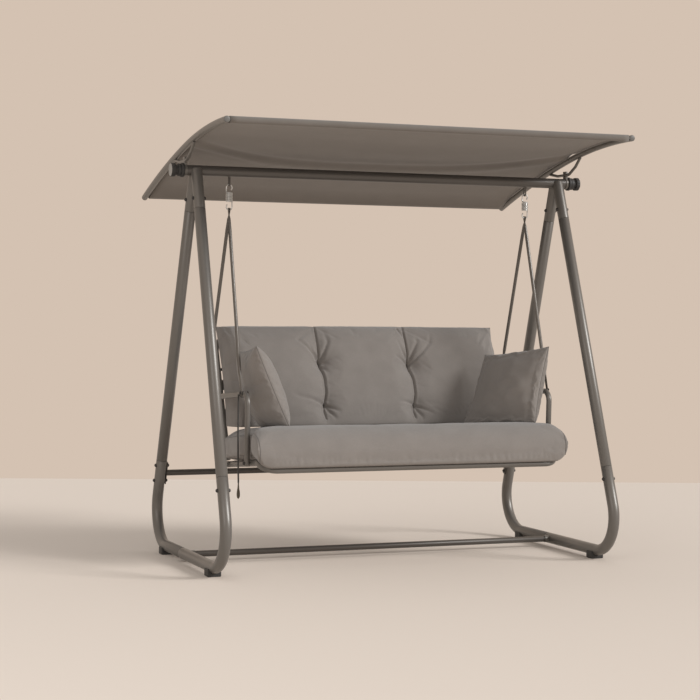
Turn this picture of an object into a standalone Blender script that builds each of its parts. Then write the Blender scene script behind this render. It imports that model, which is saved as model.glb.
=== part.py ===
"""Garden swing seat: a tube stand, a tilting canopy and a cushioned bench on two springs.

Metres, +Z up, +X to the right of someone standing in front of the seat, -Y towards them.
The pieces are drawn in the beam's frame, with the top beam along X at y = 0.
The root empty then moves everything so that the origin is under the middle of the whole swing.
"""
import math

import bmesh
import bpy
from mathutils import Matrix, Vector

# Clearances between pieces
fit_gap = 0.0003
slide_gap = 0.0005
weld_bite = 0.0005
rest_gap = 0.0006

# Top beam
beam_height = 1.560
beam_radius = 0.021
beam_end_x = 0.8365
tube_wall = 0.0015

# Legs and their sockets: one centre line per leg, from the beam to the ground tube
leg_radius = 0.0225
leg_top_x = 0.7987
leg_foot_x = 0.8193
leg_top_y = 0.0125
leg_foot_y = 0.553
swage_step = 0.0015
socket_drop = 0.155
socket_bolt_drop = 0.113
socket_seam_z = beam_height - socket_drop
socket_bolt_z = beam_height - socket_bolt_drop
socket_swage = 0.085
base_seam_z = 0.383
base_swage = 0.125
front_leg_bolt_z = 0.336

# Ground tubes with their J bends, feet and the two cross tubes
foot_sole = 0.012
bend_radius = 0.150
ground_seam_y = 0.080
ground_swage = 0.100
foot_y = 0.331
foot_length = 0.050
foot_width = 0.054
foot_height = 0.030
foot_bevel = 0.003
base_bar_radius = 0.0125
base_bar_y = 0.048
collar_radius = 0.0145
collar_length = 0.016
collar_depth = 0.012
base_bar_spigot = 0.0100
rear_bar_radius = 0.0125
rear_bar_z = 0.326
end_plate_length = 0.098
end_plate_width = 0.020
end_plate_thickness = 0.004
end_plate_bolt_reach = 0.0325
end_plate_bevel = 0.0012

# Bolts: a shank with a dome head at one end and a cap nut at the other
bolt_radius = 0.0038
bolt_head_radius = 0.0072
bolt_head_height = 0.0058

# Canopy frame, side view: two arcs that meet above the beam, with a plug in each end of a side bar
canopy_bar_radius = 0.0125
canopy_bar_wall = 0.0012
canopy_side_x = 0.843
canopy_rise = 0.0917
canopy_slope = math.radians(11.3)
canopy_front_bend = 2.80
canopy_rear_bend = 5.40
canopy_front_reach = 0.553
canopy_rear_reach = 0.645
canopy_rear_bar_inset = 0.024
canopy_front_overrun = 0.0105
canopy_cap_bulge = 0.004
canopy_cap_rim = 0.0015
canopy_cap_neck = 0.014

# Canopy hub, strut and tilt knob, along the beam's axis
hub_radius = 0.0235
hub_thickness = 0.0115
hub_tab_width = 0.024
strut_radius = 0.0055
strut_front_y = -0.130
strut_rear_y = 0.140
strut_dip_rise = 0.037
strut_dip_z = beam_height + strut_dip_rise
strut_front_run = 0.040
strut_front_rise = 0.030
strut_dip_front = 0.030
strut_dip_rear = 0.070
strut_bend = 0.060
hub_tab_cover = 0.009
hub_tab_bevel = 0.0015
stud_radius = 0.005
stud_length = 0.040
stud_plug_depth = 0.016
washer_radius = 0.0285
washer_thickness = 0.0121
washer_bevel = 0.002
knob_collar_radius = 0.0250
knob_collar_length = 0.0122
knob_neck_radius = 0.0205
knob_neck_length = 0.0110
knob_disc_radius = 0.0275
knob_disc_length = 0.0180
knob_grip_count = 8
knob_grip_depth = 0.0016
knob_edge = 0.001
knob_dish = 0.0015

# Canopy cloth
cloth_thickness = 0.0012
cloth_hem_tail = 0.045
cloth_lift = 0.006
cloth_sag = 0.016
cloth_fold = 0.004
cloth_fold_pitch = 0.115

# Hangers: staple, spring and two rods each side
hanger_x = 0.656
hanger_y = 0.012
staple_wire = 0.0028
staple_radius = 0.0085
staple_drop = 0.0530
spring_wire = 0.0025
spring_radius = 0.0118
spring_turns = 6.5
spring_pitch = 0.0057
curl_points = 8
rod_radius = 0.0060
rod_eye_radius = 0.0088
rod_eye_hole = 0.0046
rod_eye_thickness = 0.0042
rod_eye_tip = 0.0018
rod_neck_from = 0.020
rod_neck_to = 0.036
rod_front_foot = (-0.190, 0.688)
rod_rear_foot = (0.243, 0.765)
rod_foot_thickness = 0.0050
rod_foot_width = 0.0080
rod_foot_tail = 0.012
rod_flat_length = 0.085
rod_flat_taper = 0.022
spacer_radius = 0.009

# Seat frame: two side rails with a waterfall front, side view (y, z)
seat_tube_radius = 0.0125
seat_tube_wall = 0.0012
seat_half_width = 0.628
rail_rear = (0.105, 0.3848)
rail_crown = (-0.290, 0.4230)
rail_front = (-0.362, 0.3980)
rail_crown_bend = 0.060
seat_corner = 0.058
rear_rail_y = 0.030
slat_count = 4
slat_width = 0.030
slat_thickness = 0.002
slat_first_y = -0.245
slat_last_y = -0.015

# Backrest frame
back_lean = math.radians(21.8)
back_foot_y = 0.0935
back_top_z = 0.900
back_corner = 0.070
back_slat_count = 3
back_slat_width = 0.044
back_slat_thickness = 0.003
back_slat_first = 0.090
back_slat_last = 0.340
back_spread = 0.0006
bracket_thickness = 0.004
bracket_width = 0.026
bracket_reach = 0.036
bracket_rise = 0.045

# Armrests
arm_radius = 0.011
arm_wall = 0.0012
arm_post_y = -0.2255
arm_foot_z = 0.4050
arm_top_front = (-0.236, 0.686)
arm_top_rear = (0.214, 0.6535)
arm_bend = 0.040
arm_rear_bolt_z = 0.655

# Seat cushion: its top as heights above the rails' line, its underside, and its ends in rings
seat_pad_overhang = 0.033
seat_pad_half_width = seat_half_width + seat_pad_overhang
seat_pad_top_y = (0.112, 0.094, 0.020, -0.120, -0.250, -0.325, -0.375, -0.394)
seat_pad_top_rise = (0.0859, 0.1361, 0.1400, 0.1394, 0.1369, 0.1246, 0.0918, 0.0429)
seat_pad_rest_y = (0.085, 0.000, -0.100, -0.200, -0.275)
seat_pad_rear_low = (0.112, 0.440)
seat_pad_low_y = (-0.330, -0.378, -0.392)
seat_pad_low_z = (0.4250, 0.4115, 0.4250)
seat_pad_end_out = (0.000, 0.035, 0.070, 0.105, 0.135, 0.155)
seat_pad_end_draw = (0.000, 0.002, 0.006, 0.014, 0.026, 0.042)
seat_pad_middle_y = -0.140
seat_pad_half_depth = 0.250
seat_pad_notch = 0.030
seat_pad_notch_width = 0.052
seat_pad_notch_run = 0.100

# Back cushion
back_pad_inset = 0.003
back_pad_half_width = seat_half_width - back_pad_inset
back_pad_bottom = 0.533
back_pad_top = 0.938
back_pad_depth = 0.108
back_pad_seam_x = 0.200
back_pad_edge = 0.030
back_pad_least = 0.016
back_pad_end_flat = 0.020
back_pad_pull = 0.008
back_pad_round = 0.012
tuft_low_z = 0.625
tuft_high_z = 0.790
tuft_depth = 0.042
tuft_width = 0.045
tuft_height = 0.040

# Pillows: each corner's distance in from the seat's side tube, its y, and the heights of the upper two
pillow_depth = 0.125
pillow_edge = 0.0012
pillow_right_in = (0.046, 0.256, 0.136, -0.014)
pillow_right_y = (-0.250, 0.000, 0.045, -0.248)
pillow_right_top = (0.826, 0.868)
pillow_left_in = (0.141, 0.128, 0.036, 0.018)
pillow_left_y = (-0.250, 0.030, 0.070, -0.235)
pillow_left_top = (0.842, 0.872)

# Hanging tie on the left armrest
tie_y = -0.166
tie_radius = 0.0035
tie_length = 0.345
tie_band_thickness = 0.0012
tie_band_width = 0.011
tie_end_radius = 0.0068
tie_end_length = 0.062

# How finely round things are faceted
beam_sides = 12
leg_sides = 10
bar_sides = 8
bore_sides = 6
hole_sides = 6
bend_step = math.radians(22.5)

X = Vector((1, 0, 0))
Y = Vector((0, 1, 0))
Z = Vector((0, 0, 1))


# Start from an empty file
for old in list(bpy.data.objects):
    bpy.data.objects.remove(old, do_unlink=True)


# Materials

def paint(name, colour, roughness, metallic=0.0):
    material = bpy.data.materials.new(name)
    material.use_nodes = True
    shader = material.node_tree.nodes["Principled BSDF"]
    shader.inputs["Base Color"].default_value = (*colour, 1.0)
    shader.inputs["Roughness"].default_value = roughness
    shader.inputs["Metallic"].default_value = metallic
    return material


frame_paint = paint("frame_paint", (0.105, 0.100, 0.092), 0.38, 0.25)
dark_paint = paint("dark_paint", (0.055, 0.053, 0.050), 0.45, 0.20)
bolt_steel = paint("bolt_steel", (0.050, 0.048, 0.046), 0.35, 0.60)
zinc = paint("zinc", (0.62, 0.62, 0.62), 0.28, 1.0)
black_plastic = paint("black_plastic", (0.022, 0.022, 0.022), 0.50)
grey_plastic = paint("grey_plastic", (0.16, 0.155, 0.15), 0.42)
pad_fabric = paint("pad_fabric", (0.245, 0.220, 0.198), 0.95)
canopy_fabric_colour = paint("canopy_fabric_colour", (0.175, 0.155, 0.135), 0.95)
strap_fabric = paint("strap_fabric", (0.070, 0.066, 0.062), 0.90)


# The moving bodies: one empty on each joint's axis

def pivot(name, place, parent=None):
    empty = bpy.data.objects.new(name, None)
    empty.empty_display_size = 0.05
    bpy.context.collection.objects.link(empty)
    empty.parent = parent
    empty.location = place if parent is None else place - pivots_at[parent.name]
    pivots_at[name] = Vector(place)
    return empty


# Where the springs hook on, and so where the bench swings
swing_z = beam_height - staple_drop - 2 * staple_wire
swing_place = Vector((0, hanger_y, swing_z))

pivots_at = {}
stand = pivot("stand", Vector((0, 0, 0)))
swing = pivot("swing", swing_place, stand)
bench = pivot("bench", swing_place, swing)
canopy = pivot("canopy", Vector((0, 0, beam_height)), stand)
knob_axis = {
    side: pivot(f"knob_axis_{label}", Vector((side * beam_end_x, 0, beam_height)), canopy)
    for side, label in ((-1, "left"), (1, "right"))
}
SIDES = ((-1, "left"), (1, "right"))


def keep(name, bm, material, body, smooth=35):
    """Turn a finished bmesh into a named piece that hangs on its body's empty."""
    bmesh.ops.recalc_face_normals(bm, faces=bm.faces)
    mesh = bpy.data.meshes.new(name)
    bm.to_mesh(mesh)
    bm.free()
    mesh.materials.append(material)
    mesh.shade_smooth()
    mesh.set_sharp_from_angle(angle=math.radians(smooth))
    piece = bpy.data.objects.new(name, mesh)
    bpy.context.collection.objects.link(piece)
    piece.parent = body
    piece.location = -pivots_at[body.name]
    return piece


def combine(bm, tools, operation):
    """Boolean a bmesh with others and give back the result as a new bmesh."""
    meshes = []
    for shape in [bm, *tools]:
        bmesh.ops.recalc_face_normals(shape, faces=shape.faces)
        mesh = bpy.data.meshes.new("shape")
        shape.to_mesh(mesh)
        shape.free()
        meshes.append(mesh)
    holders = [bpy.data.objects.new("shape", mesh) for mesh in meshes]
    for holder in holders:
        bpy.context.collection.objects.link(holder)
    for holder in holders[1:]:
        modifier = holders[0].modifiers.new("combine", "BOOLEAN")
        modifier.operation = operation
        modifier.solver = "EXACT"
        modifier.object = holder
    view = bpy.context.evaluated_depsgraph_get()
    result = bmesh.new()
    result.from_mesh(holders[0].evaluated_get(view).to_mesh())
    for holder in holders:
        bpy.data.objects.remove(holder, do_unlink=True)
    bmesh.ops.dissolve_degenerate(result, edges=result.edges, dist=1e-6)
    bmesh.ops.remove_doubles(result, verts=result.verts, dist=1e-6)
    return result


# Tubes and turned pieces

def rounded_path(corners, step=bend_step):
    """A path through corners given as (point, bend radius), each bend an arc in short steps."""
    points = [Vector(corners[0][0])]
    for (before, _), (corner, radius), (after, _) in zip(corners, corners[1:], corners[2:]):
        corner = Vector(corner)
        towards = (Vector(before) - corner).normalized()
        onwards = (Vector(after) - corner).normalized()
        turn = math.pi - towards.angle(onwards)
        if radius <= 0 or turn < 1e-4:
            points.append(corner)
            continue
        reach = radius * math.tan(turn / 2)
        middle = (towards + onwards).normalized()
        centre = corner + middle * (radius / math.cos(turn / 2))
        start = corner + towards * reach - centre
        axis = towards.cross(onwards).normalized()
        count = max(2, math.ceil(turn / step))
        for index in range(count + 1):
            points.append(centre + Matrix.Rotation(-turn * index / count, 3, axis) @ start)
    points.append(Vector(corners[-1][0]))
    return points


def loft(bm, path, widths, sides, across, heights=None):
    """Rings of points along a path, each ring an ellipse of a half width and a half height."""
    heights = heights or widths
    rings = []
    for index, point in enumerate(path):
        before = path[max(index - 1, 0)]
        after = path[min(index + 1, len(path) - 1)]
        along = (after - before).normalized()
        side = (across - along * across.dot(along)).normalized()
        up = along.cross(side)
        ring = []
        for number in range(sides):
            angle = 2 * math.pi * number / sides
            spot = point + side * widths[index] * math.cos(angle) + up * heights[index] * math.sin(angle)
            ring.append(bm.verts.new(spot))
        rings.append(ring)
    for first, second in zip(rings, rings[1:]):
        for number in range(sides):
            following = (number + 1) % sides
            bm.faces.new((first[number], first[following], second[following], second[number]))
    return rings


def rim(bm, outer, inner):
    """Close the end of a tube between its outer ring and a bore ring of as many points or fewer."""
    count, bore_count = len(outer), len(inner)
    nearest = [int(number * bore_count / count + 0.5) % bore_count for number in range(count)]
    for number in range(count):
        following = (number + 1) % count
        here, there = nearest[number], nearest[following]
        if here == there:
            bm.faces.new((outer[number], outer[following], inner[here]))
        else:
            bm.faces.new((outer[number], outer[following], inner[there], inner[here]))


def rod(path, radius, sides, across):
    """A solid round bar along a path; the radius is one number or one per point."""
    bm = bmesh.new()
    radii = radius if isinstance(radius, list) else [radius] * len(path)
    rings = loft(bm, path, radii, sides, across)
    bm.faces.new(rings[0])
    bm.faces.new(rings[-1])
    return bm


def tube(path, radius, wall, sides, across, bore=None):
    """A hollow tube along a path, open at both ends; the radius is one number or one per point."""
    bm = bmesh.new()
    radii = radius if isinstance(radius, list) else [radius] * len(path)
    outer = loft(bm, path, radii, sides, across)
    inner = loft(bm, path, [radius - wall for radius in radii], bore or sides, across)
    rim(bm, outer[0], inner[0])
    rim(bm, outer[-1], inner[-1])
    return bm


def turned(profile, sides, place, closed=False):
    """A piece turned about X from points (along X, radius), then put in its place."""
    bm = bmesh.new()
    verts = [bm.verts.new((along, radius, 0)) for along, radius in profile]
    edges = [bm.edges.new(pair) for pair in zip(verts, verts[1:])]
    if closed:
        edges.append(bm.edges.new((verts[-1], verts[0])))
    bmesh.ops.spin(
        bm, geom=verts + edges, cent=(0, 0, 0), axis=(1, 0, 0),
        angle=2 * math.pi, steps=sides, use_merge=True,
    )
    bmesh.ops.remove_doubles(bm, verts=bm.verts, dist=1e-6)
    bmesh.ops.transform(bm, matrix=place, verts=bm.verts)
    return bm


def box(size, place, bevel=0.0):
    """A block of the given size about its middle, with its edges bevelled, put in its place."""
    bm = bmesh.new()
    bmesh.ops.create_cube(bm, size=1.0, matrix=Matrix.Diagonal((*size, 1.0)))
    if bevel:
        bmesh.ops.bevel(bm, geom=bm.edges[:], offset=bevel, segments=1, profile=0.5, affect="EDGES")
    bmesh.ops.transform(bm, matrix=place, verts=bm.verts)
    return bm


def drill(centre, radius, length, axis=X, sides=hole_sides):
    """A cutter for a round hole through a point."""
    place = Matrix.Translation(centre) @ axis.to_track_quat("X", "Z").to_matrix().to_4x4()
    half = length / 2
    return turned([(-half, 0), (-half, radius), (half, radius), (half, 0)], sides, place)


def bolt(place, inner, outer):
    """A bolt along the place's X axis that clamps what lies from inner to outer."""
    head, nut = outer + bolt_head_height, inner - bolt_head_height
    rounding = bolt_head_height * 0.45
    profile = [
        (nut, 0), (nut + rounding, bolt_head_radius), (inner, bolt_head_radius), (inner, bolt_radius),
        (outer, bolt_radius), (outer, bolt_head_radius), (head - rounding, bolt_head_radius), (head, 0),
    ]
    return turned(profile, hole_sides, place)


# The flats of a hole, not its corners, must clear the bolt
bolt_hole = bolt_radius / math.cos(math.pi / hole_sides) + slide_gap


# The legs' centre lines, which sockets, bolts, bends and end plates all follow
ground_z = foot_sole + leg_radius
leg_drop = beam_height - ground_z


def leg_point(side, end, z):
    """The leg's centre at a height; side is -1 left or 1 right, end is -1 front or 1 rear."""
    share = (beam_height - z) / leg_drop
    x = leg_top_x + share * (leg_foot_x - leg_top_x)
    y = leg_top_y + share * (leg_foot_y - leg_top_y)
    return Vector((side * x, end * y, z))


def leg_frame(side, end, z):
    """A frame on the leg's centre: X outwards across the leg, Z up along it."""
    upwards = (leg_point(side, end, beam_height) - leg_point(side, end, ground_z)).normalized()
    outwards = (X * side - upwards * upwards.dot(X * side)).normalized()
    forwards = upwards.cross(outwards)
    turn = Matrix((outwards, forwards, upwards)).transposed().to_4x4()
    return Matrix.Translation(leg_point(side, end, z)) @ turn


ENDS = ((-1, "front"), (1, "rear"))
LEGS = [(side, label, end, place) for side, label in SIDES for end, place in ENDS]
plate_bolt_z = [rear_bar_z + end_plate_bolt_reach, rear_bar_z - end_plate_bolt_reach]
lower_bolts = {-1: [front_leg_bolt_z], 1: plate_bolt_z}


def leg_drill(side, end, z):
    frame = leg_frame(side, end, z)
    return drill(frame.translation, bolt_hole, 4 * leg_radius, frame.to_3x3() @ X)


def build_beam():
    path = [Vector((-beam_end_x, 0, beam_height)), Vector((beam_end_x, 0, beam_height))]
    keep("top_beam", tube(path, beam_radius, tube_wall, beam_sides, Z), frame_paint, stand)


def build_sockets():
    for side, label in SIDES:
        stubs, bores, bolts = [], [], []
        grip = leg_radius - weld_bite
        for end in (-1, 1):
            top = leg_point(side, end, beam_height)
            seam = leg_point(side, end, socket_seam_z)
            reach = (top - seam).normalized()
            stubs.append(rod([seam, top], leg_radius, leg_sides, X))
            bore_path = [seam - reach * 0.01, seam + reach * (socket_swage + swage_step)]
            bores.append(rod(bore_path, leg_radius - tube_wall, leg_sides, X))
            bolts.append(bolt(leg_frame(side, end, socket_bolt_z), -grip, grip))
        shell = combine(stubs[0], stubs[1:], "UNION")
        middle = Vector((side * leg_top_x, 0, beam_height))
        seat_path = [middle - X * 4 * leg_radius, middle + X * 4 * leg_radius]
        seat = rod(seat_path, beam_radius + fit_gap, beam_sides, Z)
        shell = biggest(combine(shell, [*bores, seat], "DIFFERENCE"))
        keep(f"leg_socket_{label}", combine(shell, bolts, "UNION"), frame_paint, stand)


def biggest(bm):
    """Keep the largest connected body and drop slivers that a cut leaves behind."""
    bm.verts.ensure_lookup_table()
    unseen = set(bm.verts)
    bodies = []
    while unseen:
        stack, body = [next(iter(unseen))], set()
        while stack:
            vert = stack.pop()
            if vert in body:
                continue
            body.add(vert)
            stack.extend(edge.other_vert(vert) for edge in vert.link_edges)
        unseen -= body
        bodies.append(body)
    main = max(bodies, key=len)
    bmesh.ops.delete(bm, geom=[vert for vert in bm.verts if vert not in main], context="VERTS")
    return bm


def build_legs():
    swaged = leg_radius - tube_wall - slide_gap
    for side, label, end, place in LEGS:
        up = (leg_point(side, end, beam_height) - leg_point(side, end, ground_z)).normalized()
        top_seam = leg_point(side, end, socket_seam_z) - up * fit_gap
        low_seam = leg_point(side, end, base_seam_z) + up * fit_gap
        path = [
            low_seam - up * base_swage, low_seam - up * 2e-5, low_seam + up * swage_step,
            top_seam - up * swage_step, top_seam + up * 2e-5, top_seam + up * socket_swage,
        ]
        radii = [swaged, swaged, leg_radius, leg_radius, swaged, swaged]
        leg = tube(path, radii, tube_wall, leg_sides, X)
        holes = [leg_drill(side, end, z) for z in [socket_bolt_z, *lower_bolts[end]]]
        keep(f"leg_{place}_{label}", combine(leg, holes, "DIFFERENCE"), frame_paint, stand)


def ground_path(side, end, last_y):
    """From the leg's lower seam round the J bend and along the ground."""
    corner = leg_point(side, end, ground_z)
    last = Vector((side * leg_foot_x, last_y, ground_z))
    return rounded_path([(leg_point(side, end, base_seam_z), 0), (corner, bend_radius), (last, 0)])


def build_bends():
    swaged = leg_radius - tube_wall - slide_gap
    for side, label, end, place in LEGS:
        front = end < 0
        path = ground_path(side, end, ground_seam_y if front else ground_seam_y + fit_gap)
        radii = [leg_radius] * len(path)
        if front:
            bend = tube(path, radii, tube_wall, leg_sides, X)
            # A collar for the cross tube stands on the inner side of the ground tube
            inner_x = side * (leg_foot_x - leg_radius)
            collar_path = [
                Vector((inner_x + side * 2 * weld_bite, base_bar_y, ground_z)),
                Vector((inner_x - side * collar_length, base_bar_y, ground_z)),
            ]
            bend = combine(bend, [rod(collar_path, collar_radius, 10, Z)], "UNION")
            pocket = drill(collar_path[1], base_bar_spigot + slide_gap, 2 * collar_depth, X, bar_sides)
            bend = combine(bend, [pocket], "DIFFERENCE")
        else:
            path[-1] = path[-1] + Y * swage_step
            end_point = Vector((side * leg_foot_x, ground_seam_y + fit_gap, ground_z))
            path += [end_point, end_point - Y * ground_swage]
            radii += [swaged, swaged]
            bend = tube(path, radii, tube_wall, leg_sides, X)
        # The rear bolts also clamp the end plate of the cross tube on the leg's inner side
        outer = leg_radius - weld_bite
        inner = outer if front else leg_radius + 2 * fit_gap + end_plate_thickness
        bolts = [bolt(leg_frame(side, end, z), -inner, outer) for z in lower_bolts[end]]
        keep(f"base_bend_{place}_{label}", combine(bend, bolts, "UNION"), frame_paint, stand)


def build_cross_tubes():
    inner_x = leg_foot_x - leg_radius - collar_length
    shoulder = inner_x - fit_gap
    spigot = inner_x + collar_depth - slide_gap
    path = [Vector((x, base_bar_y, ground_z)) for x in (-spigot, -shoulder, -shoulder + swage_step)]
    path += [Vector((-point.x, point.y, point.z)) for point in reversed(path)]
    radii = [base_bar_spigot, base_bar_spigot, base_bar_radius]
    radii += radii[::-1]
    path[1] -= X * 2e-5
    path[-2] += X * 2e-5
    keep("base_cross_tube", tube(path, radii, tube_wall, bar_sides, Z, bore_sides), dark_paint, stand)

    plates, holes, ends = [], [], []
    for side, _ in SIDES:
        frame = leg_frame(side, 1, rear_bar_z)
        plate_x = -(leg_radius + fit_gap + end_plate_thickness / 2)
        size = (end_plate_thickness, end_plate_width, end_plate_length)
        plates.append(box(size, frame @ Matrix.Translation((plate_x, 0, 0)), end_plate_bevel))
        ends.append(frame @ Vector((plate_x, 0, 0)))
        for z in plate_bolt_z:
            holes.append(leg_drill(side, 1, z))
    bar = tube(ends, rear_bar_radius, tube_wall, bar_sides, Z, bore_sides)
    bar = combine(bar, plates, "UNION")
    keep("rear_cross_tube", combine(bar, holes, "DIFFERENCE"), dark_paint, stand)


def build_feet():
    for side, label, end, place in LEGS:
        middle = Vector((side * leg_foot_x, end * foot_y, foot_height / 2))
        block = box((foot_width, foot_length, foot_height), Matrix.Translation(middle), foot_bevel)
        trough_path = [Vector((middle.x, middle.y + run, ground_z)) for run in (-foot_length, foot_length)]
        trough = rod(trough_path, leg_radius + slide_gap, leg_sides, X)
        keep(f"foot_{place}_{label}", combine(block, [trough], "DIFFERENCE"), black_plastic, stand)


# Canopy

def canopy_point(along, lift=0.0):
    """The side bar's centre in side view; along runs from the beam to the rear, lift is square to it."""
    bend = canopy_rear_bend if along > 0 else canopy_front_bend
    angle = canopy_slope + along / bend
    y = bend * (math.sin(angle) - math.sin(canopy_slope)) + lift * math.sin(angle)
    z = bend * (math.cos(angle) - math.cos(canopy_slope)) + lift * math.cos(angle)
    return Vector((0, y, beam_height + canopy_rise + z))


rear_bar_along = canopy_rear_reach - canopy_rear_bar_inset


def side_bar_path(side):
    steps = 9
    first = -canopy_front_reach - canopy_front_overrun
    span = canopy_rear_reach - first
    return [
        canopy_point(first + span * index / steps) + X * side * canopy_side_x
        for index in range(steps + 1)
    ]


def build_canopy_frame():
    # The two cross bars end at the inner faces of the side bars
    inner_x = canopy_side_x - canopy_bar_radius - fit_gap
    for name, along in (("front", -canopy_front_reach), ("rear", rear_bar_along)):
        centre = canopy_point(along)
        path = [centre - X * inner_x, centre + X * inner_x]
        bar = tube(path, canopy_bar_radius, canopy_bar_wall, bar_sides, Z, bore_sides)
        keep(f"canopy_{name}_bar", bar, frame_paint, canopy)

    bore = canopy_bar_radius - canopy_bar_wall
    neck = bore * math.cos(math.pi / bore_sides) - slide_gap
    profile = [
        (-canopy_cap_neck, 0), (-canopy_cap_neck, neck), (fit_gap, neck),
        (fit_gap, canopy_bar_radius), (canopy_cap_rim, canopy_bar_radius),
        (canopy_cap_bulge, canopy_bar_radius * 0.5), (canopy_cap_bulge, 0),
    ]
    for side, label in SIDES:
        path = side_bar_path(side)
        bar = tube(path, canopy_bar_radius, canopy_bar_wall, bar_sides, X, bore_sides)
        keep(f"canopy_side_bar_{label}", bar, frame_paint, canopy)
        for name, tip, before in (("front", path[0], path[1]), ("side", path[-1], path[-2])):
            turn = (tip - before).to_track_quat("X", "Z").to_matrix().to_4x4()
            plug = turned(profile, 8, Matrix.Translation(tip) @ turn)
            keep(f"{name}_bar_plug_{label}", plug, black_plastic, canopy)


def build_canopy_hubs():
    for side, label in SIDES:
        hub_x = side * (beam_end_x + fit_gap + hub_thickness / 2)
        centre = Vector((hub_x, 0, beam_height))
        half = hub_thickness / 2
        disc_profile = [(-half, 0), (-half, hub_radius), (half, hub_radius), (half, 0)]
        disc = turned(disc_profile, 16, Matrix.Translation(centre))
        tab_top = strut_dip_z + strut_radius + hub_tab_cover
        tab_size = (hub_thickness, hub_tab_width, tab_top - beam_height)
        tab = box(tab_size, Matrix.Translation(centre + Z * tab_size[2] / 2), hub_tab_bevel)
        front = canopy_point_at(strut_front_y) + X * side * canopy_side_x
        rear = canopy_point_at(strut_rear_y) + X * side * canopy_side_x
        dip = Vector((side * canopy_side_x, 0, strut_dip_z))
        shoulder = Vector((front.x, strut_front_y + strut_front_run, strut_dip_z + strut_front_rise))
        strut_path = rounded_path([
            (front, 0), (shoulder, strut_bend), (dip - Y * strut_dip_front, strut_bend),
            (dip + Y * strut_dip_rear, strut_bend), (rear, 0),
        ])
        strut = rod(strut_path, strut_radius, 6, X)
        bar_space = rod(side_bar_path(side), canopy_bar_radius + fit_gap, bar_sides, X)
        bore = drill(centre, stud_radius + slide_gap, 4 * hub_thickness, X, 8)
        hub = combine(combine(disc, [tab, strut], "UNION"), [bar_space, bore], "DIFFERENCE")
        keep(f"canopy_bracket_{label}", biggest(hub), frame_paint, canopy)


def canopy_point_at(y):
    """The side bar's centre where it passes a given y."""
    low, high = -canopy_front_reach, canopy_rear_reach
    for _ in range(40):
        middle = (low + high) / 2
        if canopy_point(middle).y < y:
            low = middle
        else:
            high = middle
    return canopy_point(low)


def build_tilt_clamps():
    washer_from = beam_end_x + fit_gap + hub_thickness + fit_gap
    knob_from = washer_from + washer_thickness + fit_gap
    neck_from = knob_from + knob_collar_length
    disc_from = neck_from + knob_neck_length
    knob_to = disc_from + knob_disc_length
    bore = stud_radius + slide_gap
    plug_radius = (beam_radius - tube_wall) * math.cos(math.pi / beam_sides) - slide_gap
    for side, label in SIDES:
        place = Matrix.Translation((0, 0, beam_height))
        if side < 0:
            place = place @ Matrix.Rotation(math.pi, 4, "Z")
        stud_end = beam_end_x + stud_length
        plug_from = beam_end_x - stud_plug_depth
        stud_profile = [
            (plug_from, 0), (plug_from, plug_radius), (beam_end_x, plug_radius),
            (beam_end_x, stud_radius), (stud_end, stud_radius), (stud_end, 0),
        ]
        keep(f"tilt_stud_{label}", turned(stud_profile, 8, place), bolt_steel, stand)
        washer_to = washer_from + washer_thickness
        washer_profile = [
            (washer_from, bore), (washer_from, washer_radius - washer_bevel),
            (washer_from + washer_bevel, washer_radius), (washer_to - washer_bevel, washer_radius),
            (washer_to, washer_radius - washer_bevel), (washer_to, bore),
        ]
        keep(f"friction_washer_{label}", turned(washer_profile, 14, place, True), black_plastic, canopy)
        bore_to = stud_end + 2 * knob_edge
        knob_profile = [
            (knob_from, bore), (knob_from, knob_collar_radius - knob_edge),
            (knob_from + knob_edge, knob_collar_radius), (neck_from, knob_collar_radius),
            (neck_from + knob_edge, knob_neck_radius), (disc_from - knob_edge, knob_neck_radius),
            (disc_from, knob_disc_radius - knob_edge), (disc_from + 2 * knob_edge, knob_disc_radius),
            (knob_to - 3 * knob_edge, knob_disc_radius), (knob_to, knob_disc_radius - 4 * knob_edge),
            (knob_to - knob_dish, knob_disc_radius * 0.45), (knob_to - knob_dish, 0),
        ]
        body_profile = knob_profile + [(bore_to, 0), (bore_to, bore)]
        knob = turned_with_bore(body_profile, 2 * knob_grip_count, place, disc_from)
        keep(f"tilt_knob_{label}", knob, grey_plastic, knob_axis[side])


def turned_with_bore(profile, sides, place, grips_from):
    """A turned knob with a blind bore, whose disc has grip hollows round its edge."""
    split = next(index for index, (_, radius) in enumerate(profile) if index and radius == 0)
    outside, inside = profile[:split + 1], profile[split + 1:]
    bm = bmesh.new()
    for points in (outside, [*inside, outside[0]]):
        verts = [bm.verts.new((along, radius, 0)) for along, radius in points]
        edges = [bm.edges.new(pair) for pair in zip(verts, verts[1:])]
        bmesh.ops.spin(
            bm, geom=verts + edges, cent=(0, 0, 0), axis=(1, 0, 0),
            angle=2 * math.pi, steps=sides, use_merge=True,
        )
    bmesh.ops.remove_doubles(bm, verts=bm.verts, dist=1e-6)
    for vert in bm.verts:
        radius = math.hypot(vert.co.y, vert.co.z)
        angle = math.atan2(vert.co.z, vert.co.y)
        if vert.co.x > grips_from - 1e-5 and radius > knob_disc_radius * 0.8:
            if round(angle / (2 * math.pi) * sides) % 2:
                vert.co.yz = vert.co.yz * (1 - knob_grip_depth / radius)
    bmesh.ops.transform(bm, matrix=place, verts=bm.verts)
    return bm


# Canopy cloth: one sheet, folded round the front and rear bars into hem pockets

hem_steps = 5
hem_turn = math.radians(200)
hem_radius = (canopy_bar_radius + fit_gap) / math.cos(hem_turn / hem_steps / 2) + cloth_thickness / 2


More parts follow.
